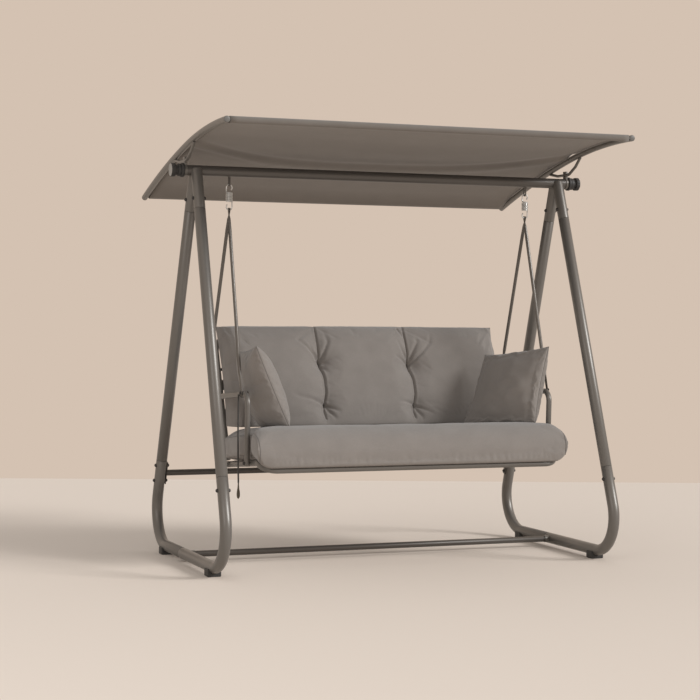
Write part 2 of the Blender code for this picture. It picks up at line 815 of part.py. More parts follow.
def cloth_middle(share):
    """The cloth's middle line in side view, as (point, kind) pairs, for a share across the width."""
    droop = 1 - share * share
    line = []
    first, last = -canopy_front_reach, rear_bar_along
    front, rear = canopy_point(first), canopy_point(last)
    # Front hem: tail under the sheet, round the bar, up to its top
    line.append(cloth_sheet(first + cloth_hem_tail, first, last, droop) - Z * (cloth_thickness + 2 * fit_gap))
    for number in range(hem_steps + 1):
        angle = math.radians(-60) - hem_turn * number / hem_steps
        line.append(front + Vector((0, math.cos(angle), math.sin(angle))) * hem_radius)
    steps = 15
    for index in range(1, steps):
        line.append(cloth_sheet(first + (last - first) * index / steps, first, last, droop))
    for number in range(hem_steps + 1):
        angle = math.radians(80) - hem_turn * number / hem_steps
        line.append(rear + Vector((0, math.cos(angle), math.sin(angle))) * hem_radius)
    line.append(cloth_sheet(last - cloth_hem_tail, first, last, droop) - Z * (cloth_thickness + 2 * fit_gap))
    return line


def cloth_sheet(along, first, last, droop):
    """A point of the stretched sheet: it sags between the bars and has soft folds across its front."""
    share = (along - first) / (last - first)
    hem = max(0.0, 1 - min(share, 1 - share) / 0.12)
    lift = cloth_lift + (hem_radius - cloth_lift) * hem * hem
    calm = math.sin(math.pi * share) ** 2
    sag = cloth_sag * droop * math.sin(math.pi * share)
    fold = cloth_fold * calm * math.sin(2 * math.pi * along / cloth_fold_pitch) * (0.35 + 0.65 * (1 - droop))
    return canopy_point(along, lift - sag + fold)


def build_cloth():
    half_width = canopy_side_x - canopy_bar_radius - 2 * fit_gap
    stations = 9
    bm = bmesh.new()
    loops = []
    for number in range(stations):
        share = -1 + 2 * number / (stations - 1)
        line = cloth_middle(share)
        upper, lower = [], []
        for index, point in enumerate(line):
            before, after = line[max(index - 1, 0)], line[min(index + 1, len(line) - 1)]
            square = X.cross(after - before).normalized() * cloth_thickness / 2
            upper.append(bm.verts.new(point + square + X * share * half_width))
            lower.append(bm.verts.new(point - square + X * share * half_width))
        loops.append(upper + lower[::-1])
    count = len(loops[0])
    for first, second in zip(loops, loops[1:]):
        for index in range(count):
            following = (index + 1) % count
            bm.faces.new((first[index], first[following], second[following], second[index]))
    for loop in (loops[0], loops[-1]):
        for index in range(count // 2 - 1):
            bm.faces.new((loop[index], loop[index + 1], loop[count - 2 - index], loop[count - 1 - index]))
    keep("canopy_cloth", bm, canopy_fabric_colour, canopy, 60)


# Hangers

ring_top_z = swing_z + 2 * staple_wire + fit_gap
upper_ring_z = ring_top_z + spring_wire - spring_radius
coil_top_z = upper_ring_z - spring_radius - 3.4 * spring_wire
coil_bottom_z = coil_top_z - spring_turns * spring_pitch
lower_ring_z = coil_bottom_z - spring_radius - 3.4 * spring_wire
rod_hook_z = lower_ring_z - spring_radius
# The lower ring curves upwards within the two eyes, and the eyes hang on its highest part there
eye_reach = rod_eye_thickness + 2 * fit_gap
ring_rise = spring_radius - math.sqrt(spring_radius ** 2 - eye_reach ** 2)
eye_hole_z = rod_hook_z + ring_rise + spring_wire + 2 * fit_gap - rod_eye_hole * math.cos(math.pi / 8)


def build_staples():
    for side, label in SIDES:
        centre = Vector((side * hanger_x, hanger_y, 0))
        bottom = swing_z + staple_wire
        top = beam_height
        half = staple_radius - staple_wire
        corners = [
            (centre + Vector((0, -half, top)), 0), (centre + Vector((0, -half, bottom)), half * 0.98),
            (centre + Vector((0, half, bottom)), half * 0.98), (centre + Vector((0, half, top)), 0),
        ]
        staple = rod(rounded_path(corners, math.radians(30)), staple_wire, 8, X)
        beam_space = rod(
            [X * (side * hanger_x + reach) + Z * beam_height for reach in (-0.05, 0.05)],
            beam_radius + fit_gap, beam_sides, Z,
        )
        staple = biggest(combine(staple, [beam_space], "DIFFERENCE"))
        keep(f"hanger_staple_{label}", staple, dark_paint, stand)


def spring_points(side):
    """One unbroken wire: a hook, a tight bend, the curls, a tight bend and the other hook."""
    centre = Vector((side * hanger_x, hanger_y, 0))
    radius, tight = spring_radius, 2.2 * spring_wire
    points = []
    for degrees in range(40, 271, 33):
        angle = math.radians(degrees)
        points.append(centre + Vector((radius * math.sin(angle), 0, upper_ring_z - radius * math.cos(angle))))
    steps = round(spring_turns * curl_points)
    points.append(centre + Vector((-radius, 0, coil_top_z + tight)))
    points.append(centre + Vector((-radius, -0.3 * tight, coil_top_z + 0.3 * tight)))
    for index in range(1, steps):
        angle = math.pi + 2 * math.pi * index / curl_points
        z = coil_top_z - spring_pitch * index / curl_points
        points.append(centre + Vector((radius * math.cos(angle), radius * math.sin(angle), z)))
    points.append(centre + Vector((radius, -0.3 * tight, coil_bottom_z - 0.3 * tight)))
    points.append(centre + Vector((radius, 0, coil_bottom_z - tight)))
    for degrees in range(90, 322, 33):
        angle = math.radians(degrees)
        points.append(centre + Vector((radius * math.sin(angle), 0, lower_ring_z + radius * math.cos(angle))))
    return points


def self_gap(points, wire, apart):
    """The least clear space between stretches of a wire that lie further apart along it."""
    lengths = [0.0]
    for before, after in zip(points, points[1:]):
        lengths.append(lengths[-1] + (after - before).length)
    gap = math.inf
    for index, point in enumerate(points[:-1]):
        for other in range(index + 1, len(points) - 1):
            if lengths[other] - lengths[index] < apart:
                continue
            for share in (0.0, 0.5):
                spot = points[other].lerp(points[other + 1], share)
                gap = min(gap, (spot - point).length - 2 * wire)
    return gap


def wire_curve(name, points, radius, material, body, resolution):
    curve = bpy.data.curves.new(name, "CURVE")
    curve.dimensions = "3D"
    curve.bevel_depth = radius
    curve.bevel_resolution = resolution
    curve.use_fill_caps = True
    spline = curve.splines.new("POLY")
    spline.points.add(len(points) - 1)
    for spot, point in zip(spline.points, points):
        spot.co = (*point, 1.0)
    curve.materials.append(material)
    piece = bpy.data.objects.new(name, curve)
    bpy.context.collection.objects.link(piece)
    piece.parent = body
    piece.location = -pivots_at[body.name]
    return piece


def build_springs():
    for side, label in SIDES:
        points = spring_points(side)
        wire_curve(f"spring_{label}", points, spring_wire, zinc, swing, 1)
        print(f"spring_{label}: least gap to itself {1000 * self_gap(points, spring_wire, 0.02):.2f} mm")


arm_x = seat_half_width + seat_tube_radius + 2 * fit_gap + arm_radius
rod_foot_x = arm_x + arm_radius + fit_gap + rod_foot_thickness / 2


def build_rods():
    hanging = {-1: ("front", rod_front_foot), 1: ("rear", rod_rear_foot)}
    for side, label in SIDES:
        for end, (place, foot) in hanging.items():
            eye = Vector((side * hanger_x + end * (rod_eye_thickness / 2 + fit_gap), hanger_y, eye_hole_z))
            low = Vector((side * rod_foot_x, foot[0], foot[1]))
            along = (low - eye).normalized()
            length = (low - eye).length
            stations = [
                (-rod_eye_radius, rod_eye_tip, rod_eye_radius * 0.35),
                (-rod_eye_radius * 0.75, rod_eye_thickness / 2, rod_eye_radius * 0.75),
                (0.0, rod_eye_thickness / 2, rod_eye_radius),
                (rod_neck_from, rod_eye_thickness / 2, rod_radius),
                (rod_neck_to, rod_radius, rod_radius),
                (length - rod_flat_length, rod_radius, rod_radius),
                (length - rod_flat_length + rod_flat_taper, rod_foot_thickness / 2, rod_foot_width),
                (length + rod_foot_tail * 0.6, rod_foot_thickness / 2, rod_foot_width),
                (length + rod_foot_tail, rod_foot_thickness / 2, rod_foot_width * 0.5),
            ]
            path = [eye + along * reach for reach, _, _ in stations]
            bm = bmesh.new()
            rings = loft(
                bm, path, [width for _, width, _ in stations], 8, X, [height for _, _, height in stations]
            )
            bm.faces.new(rings[0])
            bm.faces.new(rings[-1])
            holes = [drill(eye, rod_eye_hole, 0.03, X, 8), drill(low, bolt_hole, 0.03)]
            keep(f"hanger_rod_{place}_{label}", combine(bm, holes, "DIFFERENCE"), frame_paint, bench)


# Seat and backrest frames

back_up = Vector((0, math.sin(back_lean), math.cos(back_lean)))
back_out = Vector((0, math.cos(back_lean), -math.sin(back_lean)))


def rail_z(y):
    """The side rail's centre height between its rear end and its crown."""
    share = (y - rail_crown[0]) / (rail_rear[0] - rail_crown[0])
    return rail_crown[1] + share * (rail_rear[1] - rail_crown[1])


back_foot = Vector((0, back_foot_y, rail_z(back_foot_y)))
back_length = (back_top_z - back_foot.z) / back_up.z


def back_point(x, height, out=0.0):
    """A point on the uprights' plane, a height along them and a distance behind them."""
    return X * x + back_foot + back_up * height + back_out * out


def back_height(z):
    return (z - back_foot.z) / back_up.z


frame_bolts = {
    "arm_foot": Vector((0, arm_post_y, rail_z(arm_post_y))),
    "arm_rear": back_point(0, back_height(arm_rear_bolt_z)),
    "rod_front": Vector((0, *rod_front_foot)),
    "rod_rear": Vector((0, *rod_rear_foot)),
    "bracket_rail": Vector((0, back_foot_y - bracket_reach, rail_z(back_foot_y - bracket_reach))),
}


def frame_drills(names, side, x):
    return [drill(frame_bolts[name] + X * side * x, bolt_hole, 0.06) for name in names]


def build_seat_frame():
    corners = []
    for side in (-1, 1):
        edge = [
            (Vector((side * seat_half_width, *rail_rear)), 0),
            (Vector((side * seat_half_width, *rail_crown)), rail_crown_bend),
            (Vector((side * seat_half_width, *rail_front)), seat_corner),
        ]
        corners += edge if side < 0 else edge[::-1]
    loop = rounded_path(corners)
    ends = [Vector((side * seat_half_width, rear_rail_y, rail_z(rear_rail_y))) for side in (-1, 1)]
    slats = []
    tilt = math.atan2(rail_crown[1] - rail_rear[1], rail_crown[0] - rail_rear[0]) - math.pi
    lift = seat_tube_radius - weld_bite + slat_thickness / 2
    for index in range(slat_count):
        y = slat_first_y + (slat_last_y - slat_first_y) * index / (slat_count - 1)
        place = Matrix.Translation((0, y, rail_z(y) + lift)) @ Matrix.Rotation(tilt, 4, "X")
        length = 2 * (seat_half_width + seat_tube_radius * 0.5)
        slats.append(box((length, slat_width, slat_thickness), place))
    frame = rod(loop, seat_tube_radius, bar_sides, Z)
    frame = combine(frame, [rod(ends, seat_tube_radius, bar_sides, Z), *slats], "UNION")
    bore = seat_tube_radius - seat_tube_wall
    loop[0] += (loop[0] - loop[1]).normalized() * 0.01
    loop[-1] += (loop[-1] - loop[-2]).normalized() * 0.01
    cutters = [rod(loop, bore, bore_sides, Z), rod(ends, bore, bore_sides, Z)]
    for side in (-1, 1):
        cutters += frame_drills(["arm_foot", "bracket_rail"], side, seat_half_width)
    keep("seat_frame", combine(frame, cutters, "DIFFERENCE"), frame_paint, bench)


back_half_width = seat_half_width + back_spread
bracket_x = seat_half_width + seat_tube_radius + fit_gap + bracket_thickness / 2


def build_backrest():
    # The uprights stand square on the side rails, clear by a little at their rear edge
    foot_lift = seat_tube_radius * (1 + math.sin(back_lean)) + 2 * rest_gap
    low = foot_lift / math.cos(back_lean)
    corners = [
        (back_point(-back_half_width, low), 0), (back_point(-back_half_width, back_length), back_corner),
        (back_point(back_half_width, back_length), back_corner), (back_point(back_half_width, low), 0),
    ]
    loop = rounded_path(corners)
    joined = []
    lean = Matrix((X, back_out, back_up)).transposed().to_4x4()
    for index in range(back_slat_count):
        height = back_slat_first + (back_slat_last - back_slat_first) * index / (back_slat_count - 1)
        place = Matrix.Translation(back_point(0, height)) @ lean
        joined.append(box((2 * back_half_width, back_slat_thickness, back_slat_width), place))
    for side in (-1, 1):
        corner = back_foot.copy()
        for tip in (frame_bolts["bracket_rail"], back_point(0, bracket_rise)):
            run = tip - corner
            turn = Matrix((X, run.normalized(), X.cross(run.normalized()))).transposed().to_4x4()
            size = (bracket_thickness, run.length + bracket_width, bracket_width)
            joined.append(box(size, Matrix.Translation(X * side * bracket_x + corner + run / 2) @ turn))
    frame = combine(rod(loop, seat_tube_radius, bar_sides, back_out), joined, "UNION")
    bore = seat_tube_radius - seat_tube_wall
    loop[0] += (loop[0] - loop[1]).normalized() * 0.002
    loop[-1] += (loop[-1] - loop[-2]).normalized() * 0.002
    cutters, bolts = [rod(loop, bore, bore_sides, back_out)], []
    for side in (-1, 1):
        cutters += frame_drills(["arm_rear", "rod_rear"], side, seat_half_width)
        inner = seat_half_width - seat_tube_radius - fit_gap
        outer = bracket_x + bracket_thickness / 2 - weld_bite
        bolts.append(bolt(side_frame("bracket_rail", side), inner, outer))
    frame = combine(frame, cutters, "DIFFERENCE")
    keep("backrest_frame", combine(frame, bolts, "UNION"), frame_paint, bench)


def side_frame(name, side):
    """A frame on one of the bench's bolt axes, with X outwards and its origin in the middle plane."""
    place = Matrix.Translation(frame_bolts[name])
    return place @ Matrix.Rotation(math.pi, 4, "Z") if side < 0 else place


def build_armrests():
    rail_in = seat_half_width - seat_tube_radius - fit_gap
    arm_out = arm_x + arm_radius - weld_bite
    rod_out = rod_foot_x + rod_foot_thickness / 2 + fit_gap
    for side, label in SIDES:
        x = side * arm_x
        corners = [
            (Vector((x, arm_post_y, arm_foot_z)), 0), (Vector((x, *arm_top_front)), arm_bend),
            (Vector((x, *arm_top_rear)), 0),
        ]
        arm = tube(rounded_path(corners), arm_radius, arm_wall, bar_sides, X, bore_sides)
        arm = combine(arm, frame_drills(["rod_front"], side, arm_x), "DIFFERENCE")
        bolts = [bolt(side_frame(name, side), rail_in, arm_out) for name in ("arm_foot", "arm_rear")]
        keep(f"armrest_{label}", combine(arm, bolts, "UNION"), frame_paint, bench)

        front_bolt = bolt(side_frame("rod_front", side), arm_x - arm_radius - fit_gap, rod_out)
        keep(f"rod_bolt_front_{label}", front_bolt, bolt_steel, bench)
        # The rear bolt carries a spacer tube that holds the rod clear of the armrest
        from_x = back_half_width + seat_tube_radius + fit_gap
        to_x = rod_foot_x - rod_foot_thickness / 2 - fit_gap
        rear_bolt = bolt(side_frame("rod_rear", side), rail_in, rod_out)
        spacer = [(from_x, 0), (from_x, spacer_radius), (to_x, spacer_radius), (to_x, 0)]
        spacer = turned(spacer, bar_sides, side_frame("rod_rear", side))
        keep(f"rod_bolt_rear_{label}", combine(rear_bolt, [spacer], "UNION"), bolt_steel, bench)


# Soft parts

def smooth_line(points, count):
    """A soft line of count points through a few chosen ones."""
    line = []
    spans = len(points) - 1
    for number in range(count):
        place = number / (count - 1) * spans
        index = min(int(place), spans - 1)
        share = place - index
        before = points[max(index - 1, 0)]
        start, stop = points[index], points[index + 1]
        after = points[min(index + 2, spans)]
        spot = []
        for a, b, c, d in zip(before, start, stop, after):
            bow = 2 * a - 5 * b + 4 * c - d + share * (3 * (b - c) + d - a)
            spot.append(b + 0.5 * share * (c - a + share * bow))
        line.append(spot)
    return line


def pad_lift():
    return seat_tube_radius + fit_gap + slat_thickness + rest_gap


def seat_top_line():
    """The cushion's top in side view, as heights above the rails' line from the rear edge to the front."""
    return smooth_line([(y, rail_z(y) + rise) for y, rise in zip(seat_pad_top_y, seat_pad_top_rise)], 15)


def seat_top(y):
    """The height of the cushion's crown at a given y."""
    line = seat_top_line()
    for (rear_y, rear_z), (front_y, front_z) in zip(line[1:], line[2:]):
        if front_y <= y <= rear_y:
            return rear_z + (front_z - rear_z) * (y - rear_y) / (front_y - rear_y)
    return line[1][1]


def build_seat_pad():
    """Top and bottom lines in side view, drawn in towards each other at both ends."""
    top = seat_top_line()
    base = [(y, rail_z(y) + pad_lift()) for y in seat_pad_rest_y]
    bottom = smooth_line([seat_pad_rear_low, *base, *zip(seat_pad_low_y, seat_pad_low_z)], 15)
    # Each ring: how far out it is, the share of its height that it keeps and how far its edges draw in
    rings = list(zip(seat_pad_end_out, (1.0, 0.99, 0.95, 0.85, 0.70, 0.50), seat_pad_end_draw))
    flat_part = seat_pad_half_width - seat_pad_end_out[-1]
    stations = [(-flat_part - out, share, draw) for out, share, draw in reversed(rings)]
    stations += [(flat_part * share, 1.0, 0.0) for share in (-0.69, -0.375, 0.0, 0.375, 0.69)]
    stations += [(flat_part + out, share, draw) for out, share, draw in rings]
    bm = bmesh.new()
    loops = []
    for x, kept, draw in stations:
        side = math.copysign(1, x) if abs(x) > 0.01 else 0
        loop = []
        for (y, z), (low_y, low_z) in zip(top, bottom):
            middle_z = low_z + 0.46 * (z - low_z)
            for own_y, own_z in ((y, z), (low_y, low_z)):
                off = seat_pad_middle_y - own_y
                shift = draw * max(-1.0, min(1.0, off / seat_pad_half_depth))
                notch = seat_pad_notch * math.exp(-(((own_y - arm_post_y) / seat_pad_notch_width) ** 2))
                near_end = max(0.0, min(1.0, (abs(x) - flat_part) / seat_pad_notch_run))
                spot = (x - side * notch * near_end, own_y + shift, middle_z + (own_z - middle_z) * kept)
                loop.append(bm.verts.new(spot))
        loops.append((loop[0::2], loop[1::2]))
    close_pad(bm, loops)
    keep("seat_cushion", bm, pad_fabric, bench, 70)


def close_pad(bm, loops):
    """Skin a pad between its stations, over the top, round both long edges and across its ends."""
    for (top, low), (next_top, next_low) in zip(loops, loops[1:]):
        for index in range(len(top) - 1):
            bm.faces.new((top[index], next_top[index], next_top[index + 1], top[index + 1]))
            bm.faces.new((low[index], low[index + 1], next_low[index + 1], next_low[index]))
        bm.faces.new((top[0], low[0], next_low[0], next_top[0]))
        bm.faces.new((top[-1], next_top[-1], next_low[-1], low[-1]))
    for top, low in (loops[0], loops[-1]):
        for index in range(len(top) - 1):
            bm.faces.new((top[index], top[index + 1], low[index + 1], low[index]))


def back_depth(x, z):
    """How far the back cushion stands out: three sections, drawn in at two seams with two tufts each."""
    share = (z - back_pad_bottom) / (back_pad_top - back_pad_bottom)
    rise = max(0.0, 1 - abs(2 * share - 1) ** 2.6) ** 0.5
    if abs(x) < back_pad_seam_x:
        across = x / back_pad_seam_x
    else:
        middle = (back_pad_half_width + back_pad_seam_x) / 2
        across = (abs(x) - middle) / (back_pad_half_width - middle)
    crown = max(0.0, 1 - abs(across) ** 2.4) ** 0.5
    at_edge = abs(x) > back_pad_half_width - back_pad_end_flat
    seam = 0.0 if at_edge else 0.52
    depth = back_pad_edge + (back_pad_depth - back_pad_edge) * rise * (seam + (1 - seam) * crown)
    for tuft_z in (tuft_low_z, tuft_high_z):
        spread = ((abs(x) - back_pad_seam_x) / tuft_width) ** 2 + ((z - tuft_z) / tuft_height) ** 2
        depth -= tuft_depth * math.exp(-spread)
    return max(depth, back_pad_least)


def build_back_pad():
    plane = -(seat_tube_radius + rest_gap)
    columns = [-1.0, -0.985, -0.94, -0.84, -0.66, -0.48, -0.38]
    seam = back_pad_seam_x / back_pad_half_width
    columns += [-seam, -0.26, -0.13, 0.0]
    columns += [-value for value in reversed(columns[:-1])]
    rows = [0.0, 0.03, 0.11, 0.22, 0.36, 0.50, 0.63, 0.77, 0.90, 0.97, 1.0]
    bm = bmesh.new()
    loops = []
    for column in columns:
        front, rear = [], []
        for share in rows:
            z = back_pad_bottom + share * (back_pad_top - back_pad_bottom)
            pull = back_pad_pull * (1 - (2 * share - 1) ** 2) * abs(column) ** 6
            x = column * (back_pad_half_width - pull)
            depth = back_depth(x, z)
            height = back_height(z)
            # Its lower edge sags level, down to the seat
            slump = Z * depth * math.sin(back_lean) * (1 - share) ** 3
            front.append(bm.verts.new(back_point(x, height, plane - depth) - slump))
            inset = min(back_pad_round, depth * 0.3) if share in (0.0, 1.0) else 0.0
            rear.append(bm.verts.new(back_point(x, height, plane - inset)))
        loops.append((front, rear))
    close_pad(bm, loops)
    keep("back_cushion", bm, pad_fabric, bench, 70)


def build_pillow(name, corners):
    """A square pillow from its four seam corners, crowned on both faces and drawn in between corners."""
    low_a, low_b, top_b, top_a = [Vector(corner) for corner in corners]
    out = (low_b - low_a).cross(top_a - low_a).normalized()
    count = 10
    bm = bmesh.new()
    loops = []
    for row in range(count + 1):
        front, rear = [], []
        for column in range(count + 1):
            u, v = 2 * column / count - 1, 2 * row / count - 1
            u, v = math.sin(u * math.pi / 2), math.sin(v * math.pi / 2)
            su = u * (1 - 0.055 * (1 - v * v))
            sv = v * (1 - (0.055 if v > 0 else 0.015) * (1 - u * u))
            low = low_a.lerp(low_b, (su + 1) / 2)
            high = top_a.lerp(top_b, (su + 1) / 2)
            spot = low.lerp(high, (sv + 1) / 2)
            swell = pillow_depth / 2 * (max(0.0, (1 - u * u) * (1 - v * v)) ** 0.42)
            swell = max(swell, pillow_edge)
            front.append(bm.verts.new(spot + out * swell))
            rear.append(bm.verts.new(spot - out * swell))
        loops.append((front, rear))
    close_pad(bm, loops)
    keep(name, bm, pad_fabric, bench, 70)


def pillow_corners(side, insets, ys, tops):
    """Two corners that stand on the seat cushion, at the front and rear, and two above them."""
    heights = [seat_top(ys[0]) + rest_gap, seat_top(ys[1]) + rest_gap, *tops]
    return [(side * (seat_half_width - inset), y, z) for inset, y, z in zip(insets, ys, heights)]


def build_pillows():
    build_pillow("pillow_right", pillow_corners(1, pillow_right_in, pillow_right_y, pillow_right_top))
    build_pillow("pillow_left", pillow_corners(-1, pillow_left_in, pillow_left_y, pillow_left_top))


def build_tie():
    band_out = (arm_radius + fit_gap) / math.cos(math.pi / 10) + tie_band_thickness
    run = Vector(arm_top_rear) - Vector(arm_top_front)
    share = (tie_y - arm_top_front[0]) / run.x
    bar_z = arm_top_front[1] + share * run.y
    centre = Vector((-arm_x, tie_y, bar_z))
    turn = Vector((0, run.x, run.y)).normalized().to_track_quat("X", "Z").to_matrix().to_4x4()
    half = tie_band_width / 2
    band = [
        (-half, band_out - tie_band_thickness), (-half, band_out),
        (half, band_out), (half, band_out - tie_band_thickness),
    ]
    band_piece = turned(band, 10, Matrix.Translation(centre) @ turn, True)
    keep("tie_loop", band_piece, strap_fabric, bench)

    x = -(arm_x + band_out + fit_gap + tie_radius * math.cos(math.pi / 6))
    top = Vector((x, tie_y, bar_z))
    steps = 18
    points = []
    for index in range(steps + 1):
        share = index / steps
        sway = Vector((-0.0015 * math.sin(math.pi * share), -0.004 * share * share, 0))
        points.append(top - Z * tie_length * share + sway)
    wire_curve("hanging_tie", points, tie_radius, strap_fabric, bench, 1)
    tip = points[-1]
    length = tie_end_length
    profile = [
        (fit_gap, 0), (fit_gap, 0.33 * tie_end_radius), (0.25 * length, 0.47 * tie_end_radius),
        (0.50 * length, 0.82 * tie_end_radius), (0.74 * length, tie_end_radius),
        (0.92 * length, 0.76 * tie_end_radius), (length, 0.33 * tie_end_radius), (length + fit_gap, 0),
    ]
    place = Matrix.Translation(tip) @ (-Z).to_track_quat("X", "Z").to_matrix().to_4x4()
    keep("tie_end", turned(profile, 8, place), strap_fabric, bench)


build_beam()
build_sockets()
build_legs()
build_bends()
build_cross_tubes()
build_feet()
build_canopy_frame()
build_canopy_hubs()
build_tilt_clamps()
build_cloth()
build_staples()
build_springs()
build_rods()
build_seat_frame()
build_backrest()
build_armrests()
build_seat_pad()
build_back_pad()
build_pillows()
build_tie()

# Put the origin under the middle of the swing, which reaches further back than forward
bpy.context.view_layer.update()
reaches = []
for piece in bpy.data.objects:
    if piece.type == "MESH":
        reaches += [(piece.matrix_world @ vert.co).y for vert in piece.data.vertices]
stand.location.y = -(min(reaches) + max(reaches)) / 2
bpy.context.view_layer.update()
print(f"beam at y = {stand.location.y:.5f}, swing axis at z = {swing_z:.5f}")
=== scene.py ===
"""The looks of the garden swing seat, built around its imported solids, in metres."""
from math import atan2, ceil, cos, exp, hypot, pi, radians, sin, sqrt, tan

import bmesh
import bpy
import numpy as np
from bmesh import ops
from mathutils import Matrix, Vector, kdtree, noise


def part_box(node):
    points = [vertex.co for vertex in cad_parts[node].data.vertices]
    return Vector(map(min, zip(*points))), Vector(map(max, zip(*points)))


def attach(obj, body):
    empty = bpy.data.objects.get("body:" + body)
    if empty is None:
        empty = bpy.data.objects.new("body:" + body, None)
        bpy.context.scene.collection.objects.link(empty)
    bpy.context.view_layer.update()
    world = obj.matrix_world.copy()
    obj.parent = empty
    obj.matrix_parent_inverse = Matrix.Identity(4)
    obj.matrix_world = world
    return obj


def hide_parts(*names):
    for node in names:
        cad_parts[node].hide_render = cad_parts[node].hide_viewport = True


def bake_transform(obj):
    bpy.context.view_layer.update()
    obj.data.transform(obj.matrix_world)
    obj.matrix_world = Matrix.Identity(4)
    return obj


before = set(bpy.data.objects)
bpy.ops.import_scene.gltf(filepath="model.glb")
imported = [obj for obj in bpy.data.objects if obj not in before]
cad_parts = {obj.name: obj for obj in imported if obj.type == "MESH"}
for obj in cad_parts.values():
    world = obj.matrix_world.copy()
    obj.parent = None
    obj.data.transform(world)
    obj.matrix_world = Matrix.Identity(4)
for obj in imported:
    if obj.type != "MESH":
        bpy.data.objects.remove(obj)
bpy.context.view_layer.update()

# The camera stands in front of the seat's left half, a metre above the ground, and looks a little to the right.
# Its place was worked out from pairs of points that lie at the same depth on the left and on the right.
beam_low, beam_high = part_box("top_beam")
beam_y = (beam_low.y + beam_high.y) / 2
beam_z = (beam_low.z + beam_high.z) / 2
scene = bpy.context.scene


def at(x, y, z):
    """A point given from the middle of the top beam in plan, and from the ground in height."""
    return Vector((x, y + beam_y, z))


camera_data = bpy.data.cameras.new("camera")
camera_data.lens = 92.18
camera = bpy.data.objects.new("camera", camera_data)
scene.collection.objects.link(camera)
yaw, pitch, roll = -0.3680, -0.0205, 0.0069
level = Vector((cos(yaw), sin(yaw), 0))
ahead = Vector((-sin(yaw) * cos(pitch), cos(yaw) * cos(pitch), sin(pitch)))
upright = level.cross(ahead)
right = level * cos(roll) + upright * sin(roll)
up = upright * cos(roll) - level * sin(roll)
turn = Matrix((right, up, -ahead)).transposed().to_4x4()
camera_x, camera_y, camera_z = -2.7773, -6.8404, 1.0004
camera.matrix_world = Matrix.Translation(at(camera_x, camera_y, camera_z)) @ turn
scene.camera = camera


# The tie is a dark cord that hangs from a cloth loop on the left armrest and ends in a sewn tassel.
# It holds the seat cushion when it is in use, and hangs straight down here.
def shade(red, green, blue):
    """A colour as a screen shows it, turned into the numbers that a shader takes."""
    return [((value / 255 + 0.055) / 1.055) ** 2.4 for value in (red, green, blue)] + [1.0]


def finish(name, colour, roughness, metallic=0.0):
    """A material with its plain values set, and its nodes for what is added to them."""
    material = bpy.data.materials.new(name)
    material.use_nodes = True
    nodes, links = material.node_tree.nodes, material.node_tree.links
    shader = nodes["Principled BSDF"]
    shader.inputs["Base Color"].default_value = shade(*colour)
    shader.inputs["Roughness"].default_value = roughness
    shader.inputs["Metallic"].default_value = metallic
    place = nodes.new("ShaderNodeTexCoord")
    return material, nodes, links, shader, place


def two_tones(nodes, links, shader, factor, dark, light):
    """Mix the shader's colour from a darker and a lighter tone."""
    mix = nodes.new("ShaderNodeMix")
    mix.data_type = "RGBA"
    mix.inputs["A"].default_value = shade(*dark)
    mix.inputs["B"].default_value = shade(*light)
    links.new(factor, mix.inputs["Factor"])
    links.new(mix.outputs["Result"], shader.inputs["Base Color"])


def raise_by(nodes, links, shader, height, strength, distance):
    """Roughen the surface by a height; distance is in metres."""
    bump = nodes.new("ShaderNodeBump")
    bump.inputs["Strength"].default_value = strength
    bump.inputs["Distance"].default_value = distance
    links.new(height, bump.inputs["Height"])
    links.new(bump.outputs["Normal"], shader.inputs["Normal"])


def noise_node(nodes, links, place, scale, detail=3.0):
    grain = nodes.new("ShaderNodeTexNoise")
    grain.inputs["Scale"].default_value = scale
    grain.inputs["Detail"].default_value = detail
    links.new(place.outputs["Object"], grain.inputs["Vector"])
    return grain.outputs["Fac"]


def grained(name, colour, roughness, tones, grain, bumps, strength, depth, metallic=0.0, detail=3.0):
    """A finish mottled between two tones by fine noise, under a finer skin of bumps."""
    material, nodes, links, shader, place = finish(name, colour, roughness, metallic)
    two_tones(nodes, links, shader, noise_node(nodes, links, place, grain, detail), *tones)
    raise_by(nodes, links, shader, noise_node(nodes, links, place, bumps), strength, depth)
    return material, shader


def paint(node, material):
    """Give a solid that stays as it is a material of its own."""
    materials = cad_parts[node].data.materials
    materials.clear()
    materials.append(material)


def stands_for(piece, body, slot, *names):
    """A finished piece's body, and the solids that it replaces; the material slot is not used."""
    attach(piece, body)
    if names:
        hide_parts(*names)


def link_piece(name, mesh, material, angle=50):
    mesh.materials.clear()
    mesh.materials.append(material)
    mesh.shade_smooth()
    mesh.set_sharp_from_angle(angle=radians(angle))
    piece = bpy.data.objects.new(name, mesh)
    scene.collection.objects.link(piece)
    return piece


def hand_over(name, bm, material, angle=180):
    mesh = bpy.data.meshes.new(name)
    bm.to_mesh(mesh)
    bm.free()
    return link_piece(name, mesh, material, angle)


def pipe(name, path, radius, material, sides=24, angle=50):
    """A round bar along a path, as a curve with a round bevel made into a mesh."""
    radii = radius if isinstance(radius, list) else [radius] * len(path)
    curve = bpy.data.curves.new(name, "CURVE")
    curve.dimensions = "3D"
    curve.bevel_depth = max(radii)
    curve.bevel_resolution = sides // 2 - 2
    curve.use_fill_caps = True
    spline = curve.splines.new("POLY")
    spline.points.add(len(path) - 1)
    for spot, point, own in zip(spline.points, path, radii):
        spot.co = (*point, 1.0)
        spot.radius = own / max(radii)
    shape = bpy.data.objects.new(name, curve)
    scene.collection.objects.link(shape)
    mesh = bpy.data.meshes.new_from_object(shape.evaluated_get(bpy.context.evaluated_depsgraph_get()))
    bpy.data.objects.remove(shape, do_unlink=True)
    bm = bmesh.new()
    bm.from_mesh(mesh)
    ops.remove_doubles(bm, verts=bm.verts, dist=1e-6)
    bm.to_mesh(mesh)
    bm.free()
    return link_piece(name, mesh, material, angle)


